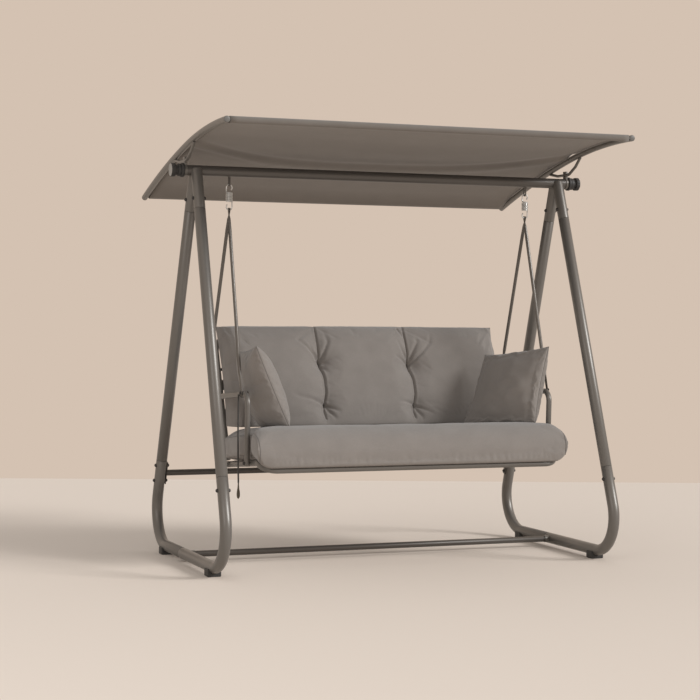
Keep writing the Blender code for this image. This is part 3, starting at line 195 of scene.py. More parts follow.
def lathe(name, profile, place, material, steps=32, angle=40):
    """A piece turned about X from points (along X, radius), then put in its place."""
    bm = bmesh.new()
    verts = [bm.verts.new((along, radius, 0)) for along, radius in profile]
    edges = [bm.edges.new(pair) for pair in zip(verts, verts[1:])]
    ops.spin(
        bm, geom=verts + edges, cent=(0, 0, 0), axis=(1, 0, 0),
        angle=2 * pi, steps=steps, use_merge=True,
    )
    ops.remove_doubles(bm, verts=bm.verts, dist=1e-6)
    ops.recalc_face_normals(bm, faces=bm.faces)
    ops.transform(bm, matrix=place, verts=bm.verts)
    return hand_over(name, bm, material, angle)


strap_tones = ((52, 50, 48), (84, 81, 77))
strap_cloth, shader = grained("strap_cloth", (66, 64, 62), 0.9, strap_tones, 900.0, 1400.0, 0.5, 0.0006)
shader.inputs["Sheen Weight"].default_value = 0.2

tie_top = at(-0.668512, -0.166, 0.680944)
tie_length, tie_thickness = 0.345, 0.0068
tie_steps = 18
tie_path = []
for index in range(tie_steps + 1):
    share = index / tie_steps
    sway = Vector((-0.0015 * sin(pi * share), -0.004 * share * share, 0))
    tie_path.append(tie_top - Vector((0, 0, tie_length * share)) + sway)
tie = pipe("tie_cord", tie_path, tie_thickness / 2, strap_cloth, 12)
tassel_tones = ((70, 62, 52), (104, 95, 80))
tassel_cloth, _ = grained("tassel_cloth", (89, 80, 67), 0.9, tassel_tones, 600.0, 1400.0, 0.5, 0.0006)
downwards = Matrix.Translation(tie_path[-1]) @ Matrix.Rotation(pi / 2, 4, "Y")
tassel = lathe("tie_tassel", [
    (0.0003, 0), (0.0003, 0.0022), (0.014, 0.0030), (0.024, 0.0040), (0.032, 0.0056), (0.040, 0.0064),
    (0.048, 0.0067), (0.054, 0.0060), (0.059, 0.0042), (0.062, 0.0018), (0.0622, 0),
], downwards, tassel_cloth)
stands_for(tie, "bench", "strap_fabric", "hanging_tie")
stands_for(tassel, "bench", "strap_fabric", "tie_end")
paint("tie_loop", strap_cloth)


# The floor is plain and pale and ends behind the seat, against an even background in the world's own colour.
# A broad soft sun stands to the right and a weak lamp to the left. None of it is part of the swing seat.
floor_finish, nodes, links, shader, place = finish("pale_floor", (234, 219, 205), 0.9)
shader.inputs["Specular IOR Level"].default_value = 0.1
floor_half, floor_end = 12.0, 10.7
upwards = Vector((0, 0, 1))
facing = Matrix((level, upwards.cross(level), upwards)).transposed().to_4x4()
away = Vector((ahead.x, ahead.y, 0)).normalized()
floor_middle = at(camera_x, camera_y, 0) + away * (floor_end - floor_half)
place = Matrix.Translation(floor_middle) @ facing
bm = bmesh.new()
ops.create_grid(bm, x_segments=1, y_segments=1, size=floor_half, matrix=place)
hand_over("floor", bm, floor_finish, 50)


def math_node(nodes, links, operation, *values):
    """A Math node fed with other nodes' outputs or with plain numbers."""
    node = nodes.new("ShaderNodeMath")
    node.operation = operation
    for value, socket in zip(values, node.inputs):
        if isinstance(value, float):
            socket.default_value = value
        else:
            links.new(value, socket)
    return node.outputs[0]


world = bpy.data.worlds.new("studio")
world.use_nodes = True
nodes, links = world.node_tree.nodes, world.node_tree.links
nodes["Background"].inputs["Color"].default_value = shade(250, 250, 250)
nodes["Background"].inputs["Strength"].default_value = 0.57
backdrop = nodes.new("ShaderNodeBackground")
backdrop.inputs["Color"].default_value = shade(212, 194, 178)
rays = nodes.new("ShaderNodeLightPath")
seen = math_node(nodes, links, "MAXIMUM", rays.outputs["Is Camera Ray"], rays.outputs["Is Glossy Ray"])
chosen = nodes.new("ShaderNodeMixShader")
links.new(seen, chosen.inputs["Fac"])
links.new(nodes["Background"].outputs[0], chosen.inputs[1])
links.new(backdrop.outputs[0], chosen.inputs[2])
links.new(chosen.outputs[0], nodes["World Output"].inputs["Surface"])
scene.world = world
key_data = bpy.data.lights.new("key_lamp", "SUN")
key_data.angle = radians(20)
key_data.energy = 2.05
fill_data = bpy.data.lights.new("fill_lamp", "AREA")
fill_data.shape = "DISK"
fill_data.size = 3.5
fill_data.energy = 45.0
lamp_aim = Vector((0, 0, 0.8))
for lamp_data, spot in ((key_data, (6.6, -5.8, 5.4)), (fill_data, (-4.5, -4.5, 3.0))):
    lamp_data.color = (0.97, 0.985, 1.0)
    lamp = bpy.data.objects.new(lamp_data.name, lamp_data)
    lamp.location = spot
    lamp.rotation_euler = (lamp_aim - lamp.location).to_track_quat("-Z", "Y").to_euler()
    scene.collection.objects.link(lamp)
scene.view_settings.view_transform = "Standard"


# The stand's tubes are powder coated in a warm dark grey with a faint metal flake and a fine orange-peel skin.
# The top beam runs through both leg sockets and carries the seat's two hangers; its darker coat is painted
# shade from the canopy above it.
def coat(name, colour, roughness, flake):
    tones = [[value + step for value in colour] for step in (-flake, flake)]
    material, shader = grained(name, colour, roughness, tones, 2200.0, 700.0, 0.12, 0.0004, 0.35, 1.0)
    shader.inputs["Coat Weight"].default_value = 0.15
    shader.inputs["Coat Roughness"].default_value = 0.3
    return material


frame_coat = coat("frame_coat", (112, 108, 103), 0.38, 6)
# The beam has the same powder coat as the other tubes; this darker copy of it is painted shade, for the shade
# under the canopy.
shaded_beam_coat = coat("shaded_beam_coat", (92, 88, 84), 0.36, 5)
beam_radius = 0.021
beam_end_x = 0.8365
beam = pipe("beam_tube", [at(-beam_end_x, 0, beam_z), at(beam_end_x, 0, beam_z)], beam_radius, shaded_beam_coat, 40)
stands_for(beam, "stand", "frame_paint", "top_beam")


# A socket at each end of the beam holds the tops of two legs: two short tubes that meet in a closed crown.
# Below it each leg is one straight tube, bolted into the socket and into the bend at its foot.
leg_radius = 0.0225
leg_top_x, leg_foot_x = 0.7987, 0.8193
leg_top_y, leg_foot_y = 0.0125, 0.553
foot_sole = 0.012
ground_z = foot_sole + leg_radius
socket_seam_z, base_seam_z = 1.405, 0.383
seam_step, seam_gap = 0.0012, 0.0004


def leg_point(side, end, z):
    """The leg's centre at a height; side is -1 left or 1 right, end is -1 front or 1 rear."""
    share = (beam_z - z) / (beam_z - ground_z)
    x = leg_top_x + share * (leg_foot_x - leg_top_x)
    y = leg_top_y + share * (leg_foot_y - leg_top_y)
    return at(side * x, end * y, z)


def joined(name, main, others, operation, material, angle=40):
    """Cut or join whole pieces with one another, and keep one mesh."""
    for other in others:
        modifier = main.modifiers.new("join", "BOOLEAN")
        modifier.operation = operation
        modifier.solver = "EXACT"
        modifier.object = other
    mesh = bpy.data.meshes.new_from_object(main.evaluated_get(bpy.context.evaluated_depsgraph_get()))
    for used in (main, *others):
        bpy.data.objects.remove(used, do_unlink=True)
    return link_piece(name, mesh, material, angle)


def stepped(path, radius):
    """A tube's path and radii, with a small step down to the seam at both its ends."""
    first = path[0] + (path[1] - path[0]).normalized() * seam_step
    last = path[-1] + (path[-2] - path[-1]).normalized() * seam_step
    radii = [radius - seam_step, *[radius] * len(path), radius - seam_step]
    return [path[0], first, *path[1:-1], last, path[-1]], radii


SIDES = ((-1, "left"), (1, "right"))
LEGS = [(side, label, end, name) for side, label in SIDES for end, name in ((-1, "front"), (1, "rear"))]
for side, label in SIDES:
    stubs = []
    for end in (-1, 1):
        seam, top = leg_point(side, end, socket_seam_z), leg_point(side, end, beam_z)
        along = (top - seam).normalized()
        path = [seam, seam + along * seam_step, top]
        radii = [leg_radius - seam_step, leg_radius, leg_radius]
        for reach, kept in ((0.0030, 0.97), (0.0056, 0.87), (0.0074, 0.71), (0.0084, 0.50)):
            path.append(top + along * reach)
            radii.append(leg_radius * kept)
        stubs.append(pipe(f"stub_{end}", path, radii, frame_coat, 40))
    crown = joined("crown", stubs[0], [stubs[1]], "UNION", frame_coat)
    bore_path = [at(side * 0.65, 0, beam_z), at(side * 0.95, 0, beam_z)]
    bore = pipe("bore", bore_path, beam_radius + 0.0002, frame_coat, 40)
    socket = joined(f"socket_{label}", crown, [bore], "DIFFERENCE", frame_coat)
    stands_for(socket, "stand", "frame_paint", f"leg_socket_{label}")
for side, label, end, place_name in LEGS:
    top, low = leg_point(side, end, socket_seam_z), leg_point(side, end, base_seam_z)
    path, radii = stepped([low, top - (top - low).normalized() * seam_gap], leg_radius)
    leg = pipe(f"leg_tube_{place_name}_{label}", path, radii, frame_coat, 40)
    stands_for(leg, "stand", "frame_paint", f"leg_{place_name}_{label}")


# Each leg's foot is a tube bent in one wide sweep from the leg's slope into the ground tube.
# The front one reaches past the middle and takes the swaged end of the rear one.
def rounded(corners, step=radians(4)):
    """A path through corners given as (point, bend radius), each bend an arc in short steps."""
    points = [corners[0][0]]
    for (before, _), (corner, radius), (after, _) in zip(corners, corners[1:], corners[2:]):
        towards, onwards = (before - corner).normalized(), (after - corner).normalized()
        swing = pi - towards.angle(onwards)
        reach = radius * tan(swing / 2)
        centre = corner + (towards + onwards).normalized() * (radius / cos(swing / 2))
        start = corner + towards * reach - centre
        axis = towards.cross(onwards).normalized()
        count = max(2, ceil(swing / step))
        turns = [Matrix.Rotation(-swing * index / count, 3, axis) for index in range(count + 1)]
        points += [centre + turn @ start for turn in turns]
    return points + [corners[-1][0]]


bend_radius = 0.150
ground_seam_y = 0.080
base_bar_y = 0.048
collar_radius, collar_length, weld_depth = 0.0145, 0.016, 0.004
dark_coat = coat("dark_coat", (84, 79, 74), 0.45, 4)
for side, label, end, place_name in LEGS:
    corner = leg_point(side, end, ground_z)
    last = at(side * leg_foot_x, ground_seam_y + (seam_gap if end > 0 else 0.0), ground_z)
    first = leg_point(side, end, base_seam_z - seam_gap)
    path, radii = stepped(rounded([(first, 0), (corner, bend_radius), (last, 0)]), leg_radius)
    bend = pipe(f"bend_{place_name}_{label}", path, radii, frame_coat, 40)
    stands_for(bend, "stand", "frame_paint", f"base_bend_{place_name}_{label}")
    if end < 0:
        inner = at(side * (leg_foot_x - leg_radius + weld_depth), base_bar_y, ground_z)
        tip = inner - Vector((side * (collar_length + weld_depth), 0, 0))
        collar = pipe(f"bar_collar_{label}", [inner, tip], collar_radius, frame_coat, 32)
        stands_for(collar, "stand", "frame_paint")


# Two straight cross tubes brace the stand: one between the ground tubes and one low between the rear legs.
# The rear one is welded to flat end plates, and each plate is bolted to its leg.
bar_radius = 0.0125
inner_x = leg_foot_x - leg_radius - collar_length - 0.0003
path, radii = stepped([at(side * inner_x, base_bar_y, ground_z) for side in (-1, 1)], bar_radius)
stands_for(pipe("ground_bar", path, radii, dark_coat, 32), "stand", "dark_paint", "base_cross_tube")


def leg_frame(side, end, z):
    """A frame on the leg's centre: X outwards across the leg, Z up along it."""
    upwards = (leg_point(side, end, beam_z) - leg_point(side, end, ground_z)).normalized()
    out = Vector((side, 0, 0))
    outwards = (out - upwards * upwards.dot(out)).normalized()
    turn = Matrix((outwards, upwards.cross(outwards), upwards)).transposed().to_4x4()
    return Matrix.Translation(leg_point(side, end, z)) @ turn


def slab(name, size, place, bevel, material):
    """A flat bar or plate with softened edges."""
    bm = bmesh.new()
    ops.create_cube(bm, size=1.0, matrix=Matrix.Diagonal((*size, 1.0)))
    ops.bevel(
        bm, geom=bm.edges[:], offset=bevel, segments=3, profile=0.5, material=-1, affect="EDGES",
    )
    ops.transform(bm, matrix=place, verts=bm.verts)
    return hand_over(name, bm, material, 35)


rear_bar_z = 0.326
plate_thickness = 0.004
plate_x = -(leg_radius + 0.0003 + plate_thickness / 2)
plate_centres = [leg_frame(side, 1, rear_bar_z) @ Vector((plate_x, 0, 0)) for side, _ in SIDES]
rear_bar = pipe("rear_bar", plate_centres, bar_radius, dark_coat, 32)
stands_for(rear_bar, "stand", "dark_paint", "rear_cross_tube")
for side, label in SIDES:
    place = leg_frame(side, 1, rear_bar_z) @ Matrix.Translation((plate_x, 0, 0))
    plate = slab(f"rear_bar_plate_{label}", (plate_thickness, 0.020, 0.098), place, 0.0012, dark_coat)
    stands_for(plate, "stand", "dark_paint")


# The stand's bolts have black dome heads outside and cap nuts inside. The feet are black plastic saddles.
# They sit at the sockets, at the front bends and in pairs at the rear plates.
def plastic(name, colour, roughness):
    tones = (colour, [value + 7 for value in colour])
    return grained(name, colour, roughness, tones, 60.0, 1200.0, 0.25, 0.0003)[0]


black_bolt = coat("black_bolt", (52, 50, 49), 0.35, 3)
black_plastic = plastic("black_plastic", (46, 45, 44), 0.55)
head_radius, head_height, head_rim, head_sink = 0.0076, 0.0080, 0.0008, 0.0006


def dome(name, place, reach, body):
    """A dome head that stands on the surface at reach along the place's X axis."""
    profile = [(reach - head_sink, 0), (reach - head_sink, head_radius), (reach + head_rim, head_radius)]
    for step in range(1, 6):
        angle = pi / 2 * step / 5
        along = reach + head_rim + (head_height - head_rim) * sin(angle)
        profile.append((along, head_radius * cos(angle)))
    stands_for(lathe(name, profile, place, black_bolt, 20), body, "bolt_steel")


flip = Matrix.Rotation(pi, 4, "Z")
bolt_reach = leg_radius - 0.0008
for side, label, end, place_name in LEGS:
    heights = [1.447, 0.336] if end < 0 else [1.447, rear_bar_z + 0.0325, rear_bar_z - 0.0325]
    for number, z in enumerate(heights):
        spot = leg_frame(side, end, z)
        dome(f"bolt_{place_name}_{label}_{number}", spot, bolt_reach, "stand")
        inner_reach = bolt_reach if end < 0 or number == 0 else leg_radius + 0.0003 + plate_thickness
        dome(f"nut_{place_name}_{label}_{number}", spot @ flip, inner_reach, "stand")
    paint(f"foot_{place_name}_{label}", black_plastic)


# The canopy's frame is an arched bar down each side, with a bar across the front and one across the rear.
# The cross bars are welded between the side bars, whose open ends are closed with round grey plugs.
canopy_bar_radius = 0.0125
canopy_side_x = 0.843
canopy_rise = 0.0917
canopy_slope = radians(11.3)
front_reach, rear_reach, rear_inset = 0.553, 0.645, 0.024
front_overrun = 0.0105


def canopy_point(along, lift=0.0, x=0.0):
    """The side bar's centre in side view; along runs from the beam to the rear, lift is square to it."""
    bend = 5.40 if along > 0 else 2.80
    angle = canopy_slope + along / bend
    y = bend * (sin(angle) - sin(canopy_slope)) + lift * sin(angle)
    z = bend * (cos(angle) - cos(canopy_slope)) + lift * cos(angle)
    return at(x, y, beam_z + canopy_rise + z)


front_centre, rear_centre = canopy_point(-front_reach), canopy_point(rear_reach - rear_inset)
reach_x = canopy_side_x - canopy_bar_radius - 0.0003
for name, centre, node in (
    ("front_bar", front_centre, "canopy_front_bar"), ("rear_bar_tube", rear_centre, "canopy_rear_bar"),
):
    bar_ends = [centre - Vector((reach_x, 0, 0)), centre + Vector((reach_x, 0, 0))]
    stands_for(pipe(name, bar_ends, canopy_bar_radius, frame_coat, 32), "canopy", "frame_paint", node)
plug_profile = [(-0.006, 0), (-0.006, 0.0105), (0.0, 0.0105)]
plug_profile += [(along, canopy_bar_radius - 0.0003) for along in (0.0002, 0.0015)]
plug_profile += [(0.0015 + 0.0024 * sin(a), 0.0122 * cos(a)) for a in (0.3, 0.7, 1.1, pi / 2)]
grey_plastic = plastic("grey_plastic", (104, 101, 97), 0.45)
pale_plastic = plastic("pale_plastic", (150, 147, 142), 0.42)
for side, label in SIDES:
    first = -(front_reach + front_overrun)
    path = []
    for index in range(41):
        path.append(canopy_point(first + (rear_reach - first) * index / 40, 0, side * canopy_side_x))
    side_bar = pipe(f"side_bar_{label}", path, canopy_bar_radius, frame_coat, 32)
    stands_for(side_bar, "canopy", "frame_paint", f"canopy_side_bar_{label}")
    for name, tip, before, node in (
        ("front_plug", path[0], path[1], "front_bar_plug"), ("rear_plug", path[-1], path[-2], "side_bar_plug"),
    ):
        run = (tip - before).to_track_quat("X", "Z").to_matrix().to_4x4()
        plug = lathe(f"{name}_{label}", plug_profile, Matrix.Translation(tip) @ run, grey_plastic)
        stands_for(plug, "canopy", "black_plastic", f"{node}_{label}")


# At each end of the beam a lug turns on a threaded stud. A bent rod is welded across the lug's top.
# The rod reaches the side bar in front of the beam and behind it, and so carries the canopy.
running_gap, lug_thickness = 0.0003, 0.0115
hub_x = beam_end_x + running_gap + lug_thickness / 2
strut_radius = 0.0061
dip_z = 1.597


def side_bar_at(y):
    """The side bar's centre at a depth from the beam, found by halving."""
    low, high = -front_reach, rear_reach
    for _ in range(40):
        middle = (low + high) / 2
        if canopy_point(middle).y - beam_y < y:
            low = middle
        else:
            high = middle
    return canopy_point(low)


for side, label in SIDES:
    centre = at(side * hub_x, 0, beam_z)
    half = lug_thickness / 2
    disc_profile = [(-half, 0), (-half, 0.0222), (-half + 0.0012, 0.0235), (half - 0.0012, 0.0235)]
    disc_profile += [(half, 0.0222), (half, 0)]
    disc = lathe(f"lug_disc_{label}", disc_profile, Matrix.Translation(centre), frame_coat, 40)
    height = dip_z + strut_radius + 0.009 - beam_z
    place = Matrix.Translation(centre + Vector((0, 0, height / 2)))
    tab = slab(f"lug_tab_{label}", (lug_thickness, 0.024, height), place, 0.0015, frame_coat)
    offset = Vector((side * canopy_side_x, 0, 0))
    front, rear = side_bar_at(-0.130) + offset, side_bar_at(0.140) + offset
    dip = at(side * canopy_side_x, 0, dip_z)
    strut_path = rounded([
        (front - Vector((0, 0, canopy_bar_radius)), 0),
        (Vector((front.x, front.y + 0.040, dip_z + 0.030)), 0.060),
        (dip - Vector((0, 0.030, 0)), 0.060), (dip + Vector((0, 0.070, 0)), 0.060),
        (rear - Vector((0, 0, canopy_bar_radius)), 0),
    ])
    strut = pipe(f"strut_{label}", strut_path, strut_radius, frame_coat, 20)
    stands_for(strut, "canopy", "frame_paint", f"canopy_bracket_{label}")
    stands_for(disc, "canopy", "frame_paint")
    stands_for(tab, "canopy", "frame_paint")


# A plastic friction washer and a grip knob on each stud clamp the canopy at the wanted tilt.
# The knob has a smooth collar, a narrow neck and a disc with grip hollows, closed by a lighter end cap.
washer_thickness = 0.0121
washer_from = beam_end_x + lug_thickness + 2 * running_gap
knob_from = washer_from + washer_thickness + running_gap
washer_profile = [
    (0, 0.0056), (0, 0.0262), (0.0008, 0.0278), (0.0022, 0.0285), (0.0099, 0.0285), (0.0113, 0.0278),
    (washer_thickness, 0.0262), (washer_thickness, 0.0056), (0, 0.0056),
]
knob_profile = [
    (0, 0.0055), (0, 0.0236), (0.0006, 0.0246), (0.0014, 0.0250), (0.0112, 0.0250), (0.0120, 0.0244),
    (0.0128, 0.0206), (0.0226, 0.0206), (0.0232, 0.0252), (0.0240, 0.0268), (0.0252, 0.0275), (0.0382, 0.0275),
    (0.0398, 0.0268), (0.0400, 0.0258), (0.0394, 0.0256), (0.0390, 0.0250), (0.0390, 0),
]
cap_profile = [
    (0.0391, 0), (0.0391, 0.0248), (0.0404, 0.0250), (0.0411, 0.0244), (0.0413, 0.0225), (0.0404, 0.0200),
    (0.0398, 0.0124), (0.0398, 0),
]
for side, label in SIDES:
    place = Matrix.Translation(at(0, 0, beam_z))
    place = place @ flip if side < 0 else place
    washer_place = place @ Matrix.Translation((washer_from, 0, 0))
    knob_place = place @ Matrix.Translation((knob_from, 0, 0))
    washer = lathe(f"washer_{label}", washer_profile, washer_place, black_plastic, 48)
    stands_for(washer, "canopy", "black_plastic", f"friction_washer_{label}")
    knob = lathe(f"knob_{label}", knob_profile, Matrix.Identity(4), black_plastic, 64)
    for vert in knob.data.vertices:
        radius = hypot(vert.co.y, vert.co.z)
        if vert.co.x > 0.0230 and radius > 0.0235:
            angle = atan2(vert.co.z, vert.co.y)
            hollow = 0.0011 * max(0.0, cos(angle * 8)) ** 2
            vert.co.y *= 1 - hollow / radius
            vert.co.z *= 1 - hollow / radius
    knob.data.transform(knob_place)
    stands_for(knob, f"knob_{label}", "grey_plastic", f"tilt_knob_{label}")
    cap = lathe(f"knob_cap_{label}", cap_profile, knob_place, pale_plastic, 48)
    stands_for(cap, f"knob_{label}", "grey_plastic")
    paint(f"tilt_stud_{label}", black_bolt)


# The canopy's cover is one woven sheet. It runs under both cross bars, turns round them and is sewn on top.
# It sags a little between the bars, in soft folds that run across it.
def woven(name, dark, light):
    """Plain-woven outdoor cloth: fine crossing threads, a faint mottle and a soft sheen."""
    material, nodes, links, shader, place = finish(name, light, 0.95)
    mottle = math_node(nodes, links, "MULTIPLY", noise_node(nodes, links, place, 14.0, 6.0), 0.45)
    fine = noise_node(nodes, links, place, 420.0, 2.0)
    two_tones(nodes, links, shader, math_node(nodes, links, "MULTIPLY_ADD", fine, 0.55, mottle), dark, light)
    heights = []
    for direction in ("X", "Z"):
        thread = nodes.new("ShaderNodeTexWave")
        thread.bands_direction = direction
        thread.inputs["Scale"].default_value = 260.0
        links.new(place.outputs["Object"], thread.inputs["Vector"])
        heights.append(thread.outputs["Fac"])
    raise_by(nodes, links, shader, math_node(nodes, links, "MAXIMUM", *heights), 0.25, 0.0005)
    shader.inputs["Sheen Weight"].default_value = 0.25
    shader.inputs["Sheen Roughness"].default_value = 0.6
    return material


def placed_grid(columns, rows, spot):
    """A fine grid whose point at (u, v), each from 0 to 1, goes to spot(u, v)."""
    bm = bmesh.new()
    ops.create_grid(bm, x_segments=columns, y_segments=rows, size=1)
    for vert in bm.verts:
        vert.co = spot((vert.co.x + 1) / 2, (vert.co.y + 1) / 2)
    ops.remove_doubles(bm, verts=bm.verts, dist=1e-5)
    return bm


canopy_cloth = woven("canopy_cloth", (98, 91, 84), (122, 114, 106))
cloth_half_width = canopy_side_x - canopy_bar_radius - 0.0006
first_along, last_along = -front_reach, rear_reach - rear_inset
hem_radius = canopy_bar_radius + 0.0010
hem_tail = 0.105
cloth_lift, cloth_sag = 0.006, 0.016


def drift(x, y, z):
    """A smooth random value from about -1 to 1, the same each run."""
    return noise.noise(Vector((x, y, z)))


def sheet_point(along, x):
    """The sheet between the bars, with one long curved fold and a short one at its left."""
    share = (along - first_along) / (last_along - first_along)
    across = x / cloth_half_width
    droop = 1 - across * across
    hem = max(0.0, 1 - min(share, 1 - share) / 0.12)
    lift = cloth_lift - (hem_radius + 0.0008 + cloth_lift) * hem * hem
    calm = sin(pi * share) ** 2
    off = along - (0.130 - 0.130 * abs(x / 0.70) ** 3)
    fold = 0.0060 * exp(-((off / 0.030) ** 2)) - 0.0045 * exp(-(((off - 0.062) / 0.034) ** 2))
    if x < -0.45:
        off = along - (0.045 + 0.45 * (x + 0.771))
        fold += 0.0050 * exp(-((off / 0.016) ** 2)) * min(1.0, (-0.45 - x) / 0.12)
    ripple = 0.0024 * calm * drift(x * 1.2, along * 7, 3.0)
    sag = cloth_sag * droop * sin(pi * share)
    return canopy_point(along, lift - sag + fold * calm + ripple, x)


def round_bar(centre, degrees, x):
    """A point on the cloth round a cross bar; degrees run from the bar's rear side over its top."""
    angle = radians(degrees)
    return centre + Vector((x, cos(angle) * hem_radius, sin(angle) * hem_radius))


def cloth_point(u, v):
    """The sheet from its front tail, over and round the front bar, under to the rear bar and back over that."""
    x = (2 * u - 1) * cloth_half_width
    over = Vector((0, 0, 0.0018))
    if v < 0.06:
        return (sheet_point(first_along + hem_tail, x) + over).lerp(round_bar(front_centre, 75, x), v / 0.06)
    if v < 0.18:
        return round_bar(front_centre, 75 + 195 * (v - 0.06) / 0.12, x)
    if v <= 0.82:
        return sheet_point(first_along + 0.003 + (last_along - first_along - 0.006) * (v - 0.18) / 0.64, x)
    if v < 0.94:
        return round_bar(rear_centre, -90 + 195 * (v - 0.82) / 0.12, x)
    return round_bar(rear_centre, 105, x).lerp(sheet_point(last_along - hem_tail, x) + over, (v - 0.94) / 0.06)


bm = placed_grid(60, 200, cloth_point)
ops.recalc_face_normals(bm, faces=bm.faces)
ops.solidify(bm, geom=bm.faces[:], thickness=0.0010)
cover = hand_over("canopy_cover", bm, canopy_cloth)
stands_for(cover, "canopy", "canopy_fabric", "canopy_cloth")
for name, along in (("front", first_along + hem_tail - 0.003), ("rear", last_along - hem_tail + 0.003)):
    above = Vector((0, 0, 0.0026))
    path = [sheet_point(along, x / 40 * cloth_half_width) + above for x in range(-40, 41)]
    stands_for(pipe(f"hem_stitch_{name}", path, 0.0006, strap_cloth, 6), "canopy", "canopy_fabric")


# Each hanger is a welded staple under the beam, a zinc-plated extension spring and two flat-ended steel rods.
# Both rods hook into the spring's lower ring, and their feet are bolted to the armrest and to the backrest.
# The staple is wide enough for the spring's upper ring to turn in it as the seat swings.
zinc_tones = ((200, 200, 198), (228, 228, 226))
zinc, _ = grained("zinc", (214, 214, 212), 0.30, zinc_tones, 300.0, 900.0, 0.1, 0.0003, 0.7)
hanger_x, hanger_y = 0.656, 0.012
staple_wire, staple_half = 0.0028, 0.0083
swing_room = 0.00015
swing_z = beam_z - 0.0530 - 2 * staple_wire
spring_wire, spring_radius, spring_turns, spring_pitch = 0.0025, 0.0118, 6.5, 0.0057
upper_ring_z = swing_z + 2 * staple_wire + 0.0003 + spring_wire - spring_radius
ring_neck = spring_radius + 3.4 * spring_wire
coil_top_z = upper_ring_z - ring_neck
coil_bottom_z = coil_top_z - spring_turns * spring_pitch
lower_ring_z = coil_bottom_z - ring_neck
neck_bend = 2.2 * spring_wire
for side, label in SIDES:
    x = side * hanger_x
    low_z = swing_z + staple_wire
    corners = []
    for end in (-1, 1):
        leg = [
            (at(x, hanger_y + end * 0.003, beam_z - 0.006), 0),
            (at(x, hanger_y + end * staple_half, beam_z - 0.020), 0.008),
            (at(x, hanger_y + end * staple_half, low_z), 0.0055),
        ]
        corners += leg if end < 0 else leg[::-1]
    staple = pipe(f"staple_{label}", rounded(corners, 0.2), staple_wire - swing_room, dark_coat, 16)
    stands_for(staple, "stand", "dark_paint", f"hanger_staple_{label}")
    points = []
    for degrees in range(40, 271, 10):
        angle = radians(degrees)
        ring_x = x + spring_radius * sin(angle)
        points.append(at(ring_x, hanger_y, upper_ring_z - spring_radius * cos(angle)))
    points.append(at(x - spring_radius, hanger_y, coil_top_z + neck_bend))
    points.append(at(x - spring_radius, hanger_y - 0.3 * neck_bend, coil_top_z + 0.3 * neck_bend))
    count = round(spring_turns * 24)
    for index in range(2, count - 1):
        angle = pi + 2 * pi * index / 24
        spot = (x + spring_radius * cos(angle), hanger_y + spring_radius * sin(angle))
        points.append(at(*spot, coil_top_z - spring_pitch * index / 24))
    points.append(at(x + spring_radius, hanger_y - 0.3 * neck_bend, coil_bottom_z - 0.3 * neck_bend))
    points.append(at(x + spring_radius, hanger_y, coil_bottom_z - neck_bend))
    for degrees in range(90, 322, 10):
        angle = radians(degrees)
        ring_x = x + spring_radius * sin(angle)
        points.append(at(ring_x, hanger_y, lower_ring_z + spring_radius * cos(angle)))
    spring = pipe(f"coil_{label}", points, spring_wire, zinc, 12)
    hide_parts(f"spring_{label}")
    top = at(x, hanger_y, swing_z + 2 * staple_wire)
    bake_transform(spring)


rod_coat_depth = 0.0012


def smooth_copy(node, name, material, slot, angle=50):
    """A merged copy of a solid with round shading, which stands for it; a rod's coat thickens its middle."""
    bm = bmesh.new()
    bm.from_mesh(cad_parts[node].data)
    ops.remove_doubles(bm, verts=bm.verts, dist=1e-6)
    if node.startswith("hanger_rod"):
        long_edges = [edge for edge in bm.edges if edge.calc_length() > 0.2]
        ops.subdivide_edges(bm, edges=long_edges, cuts=12, use_grid_fill=True)
        bm.normal_update()
        low, high = (corner.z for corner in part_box(node))
        for vert in bm.verts:
            room = min(vert.co.z - low - 0.050, high - 0.055 - vert.co.z)
            vert.co += vert.normal * rod_coat_depth * max(0.0, min(1.0, room / 0.030))
    stands_for(hand_over(name, bm, material, angle), "bench", slot, node)


rod_coat = coat("rod_coat", (104, 99, 93), 0.34, 5)
for side, label in SIDES:
    for spot in (f"front_{label}", f"rear_{label}"):
        smooth_copy(f"hanger_rod_{spot}", f"rod_{spot}", rod_coat, "frame_paint")
        smooth_copy(f"rod_bolt_{spot}", f"rod_fixing_{spot}", black_bolt, "bolt_steel", 35)


# The seat frame is one tube bent into a wide U that drops at its front, with a rear rail and flat slats.
# The backrest is a second U that leans back, bolted to the side rails by plates.
seat_radius, seat_half_width = 0.0125, 0.628
rail_rear, rail_crown, rail_front = (0.105, 0.3848), (-0.290, 0.4230), (-0.362, 0.3980)


def rail_z(y):
    """The side rail's height behind its crown."""
    share = (y - rail_crown[0]) / (rail_rear[0] - rail_crown[0])
    return rail_crown[1] + share * (rail_rear[1] - rail_crown[1])


corners = []
for side in (-1, 1):
    edge = [
        (at(side * seat_half_width, *rail_rear), 0), (at(side * seat_half_width, *rail_crown), 0.060),
        (at(side * seat_half_width, *rail_front), 0.058),
    ]
    corners += edge if side < 0 else edge[::-1]
seat_rail = pipe("seat_rail", rounded(corners), seat_radius, frame_coat, 28)
stands_for(seat_rail, "bench", "frame_paint", "seat_frame")
path = [at(side * seat_half_width, 0.030, rail_z(0.030)) for side in (-1, 1)]
stands_for(pipe("seat_rear_rail", path, seat_radius, frame_coat, 28), "bench", "frame_paint")
slope = atan2(rail_crown[1] - rail_rear[1], rail_crown[0] - rail_rear[0]) - pi
for number in range(4):
    y = -0.245 + 0.230 * number / 3
    place = Matrix.Translation(at(0, y, rail_z(y) + seat_radius + 0.0004)) @ Matrix.Rotation(slope, 4, "X")
    slat = slab(f"seat_slat_{number}", (2 * seat_half_width + 0.012, 0.030, 0.002), place, 0.0006, frame_coat)
    stands_for(slat, "bench", "frame_paint")

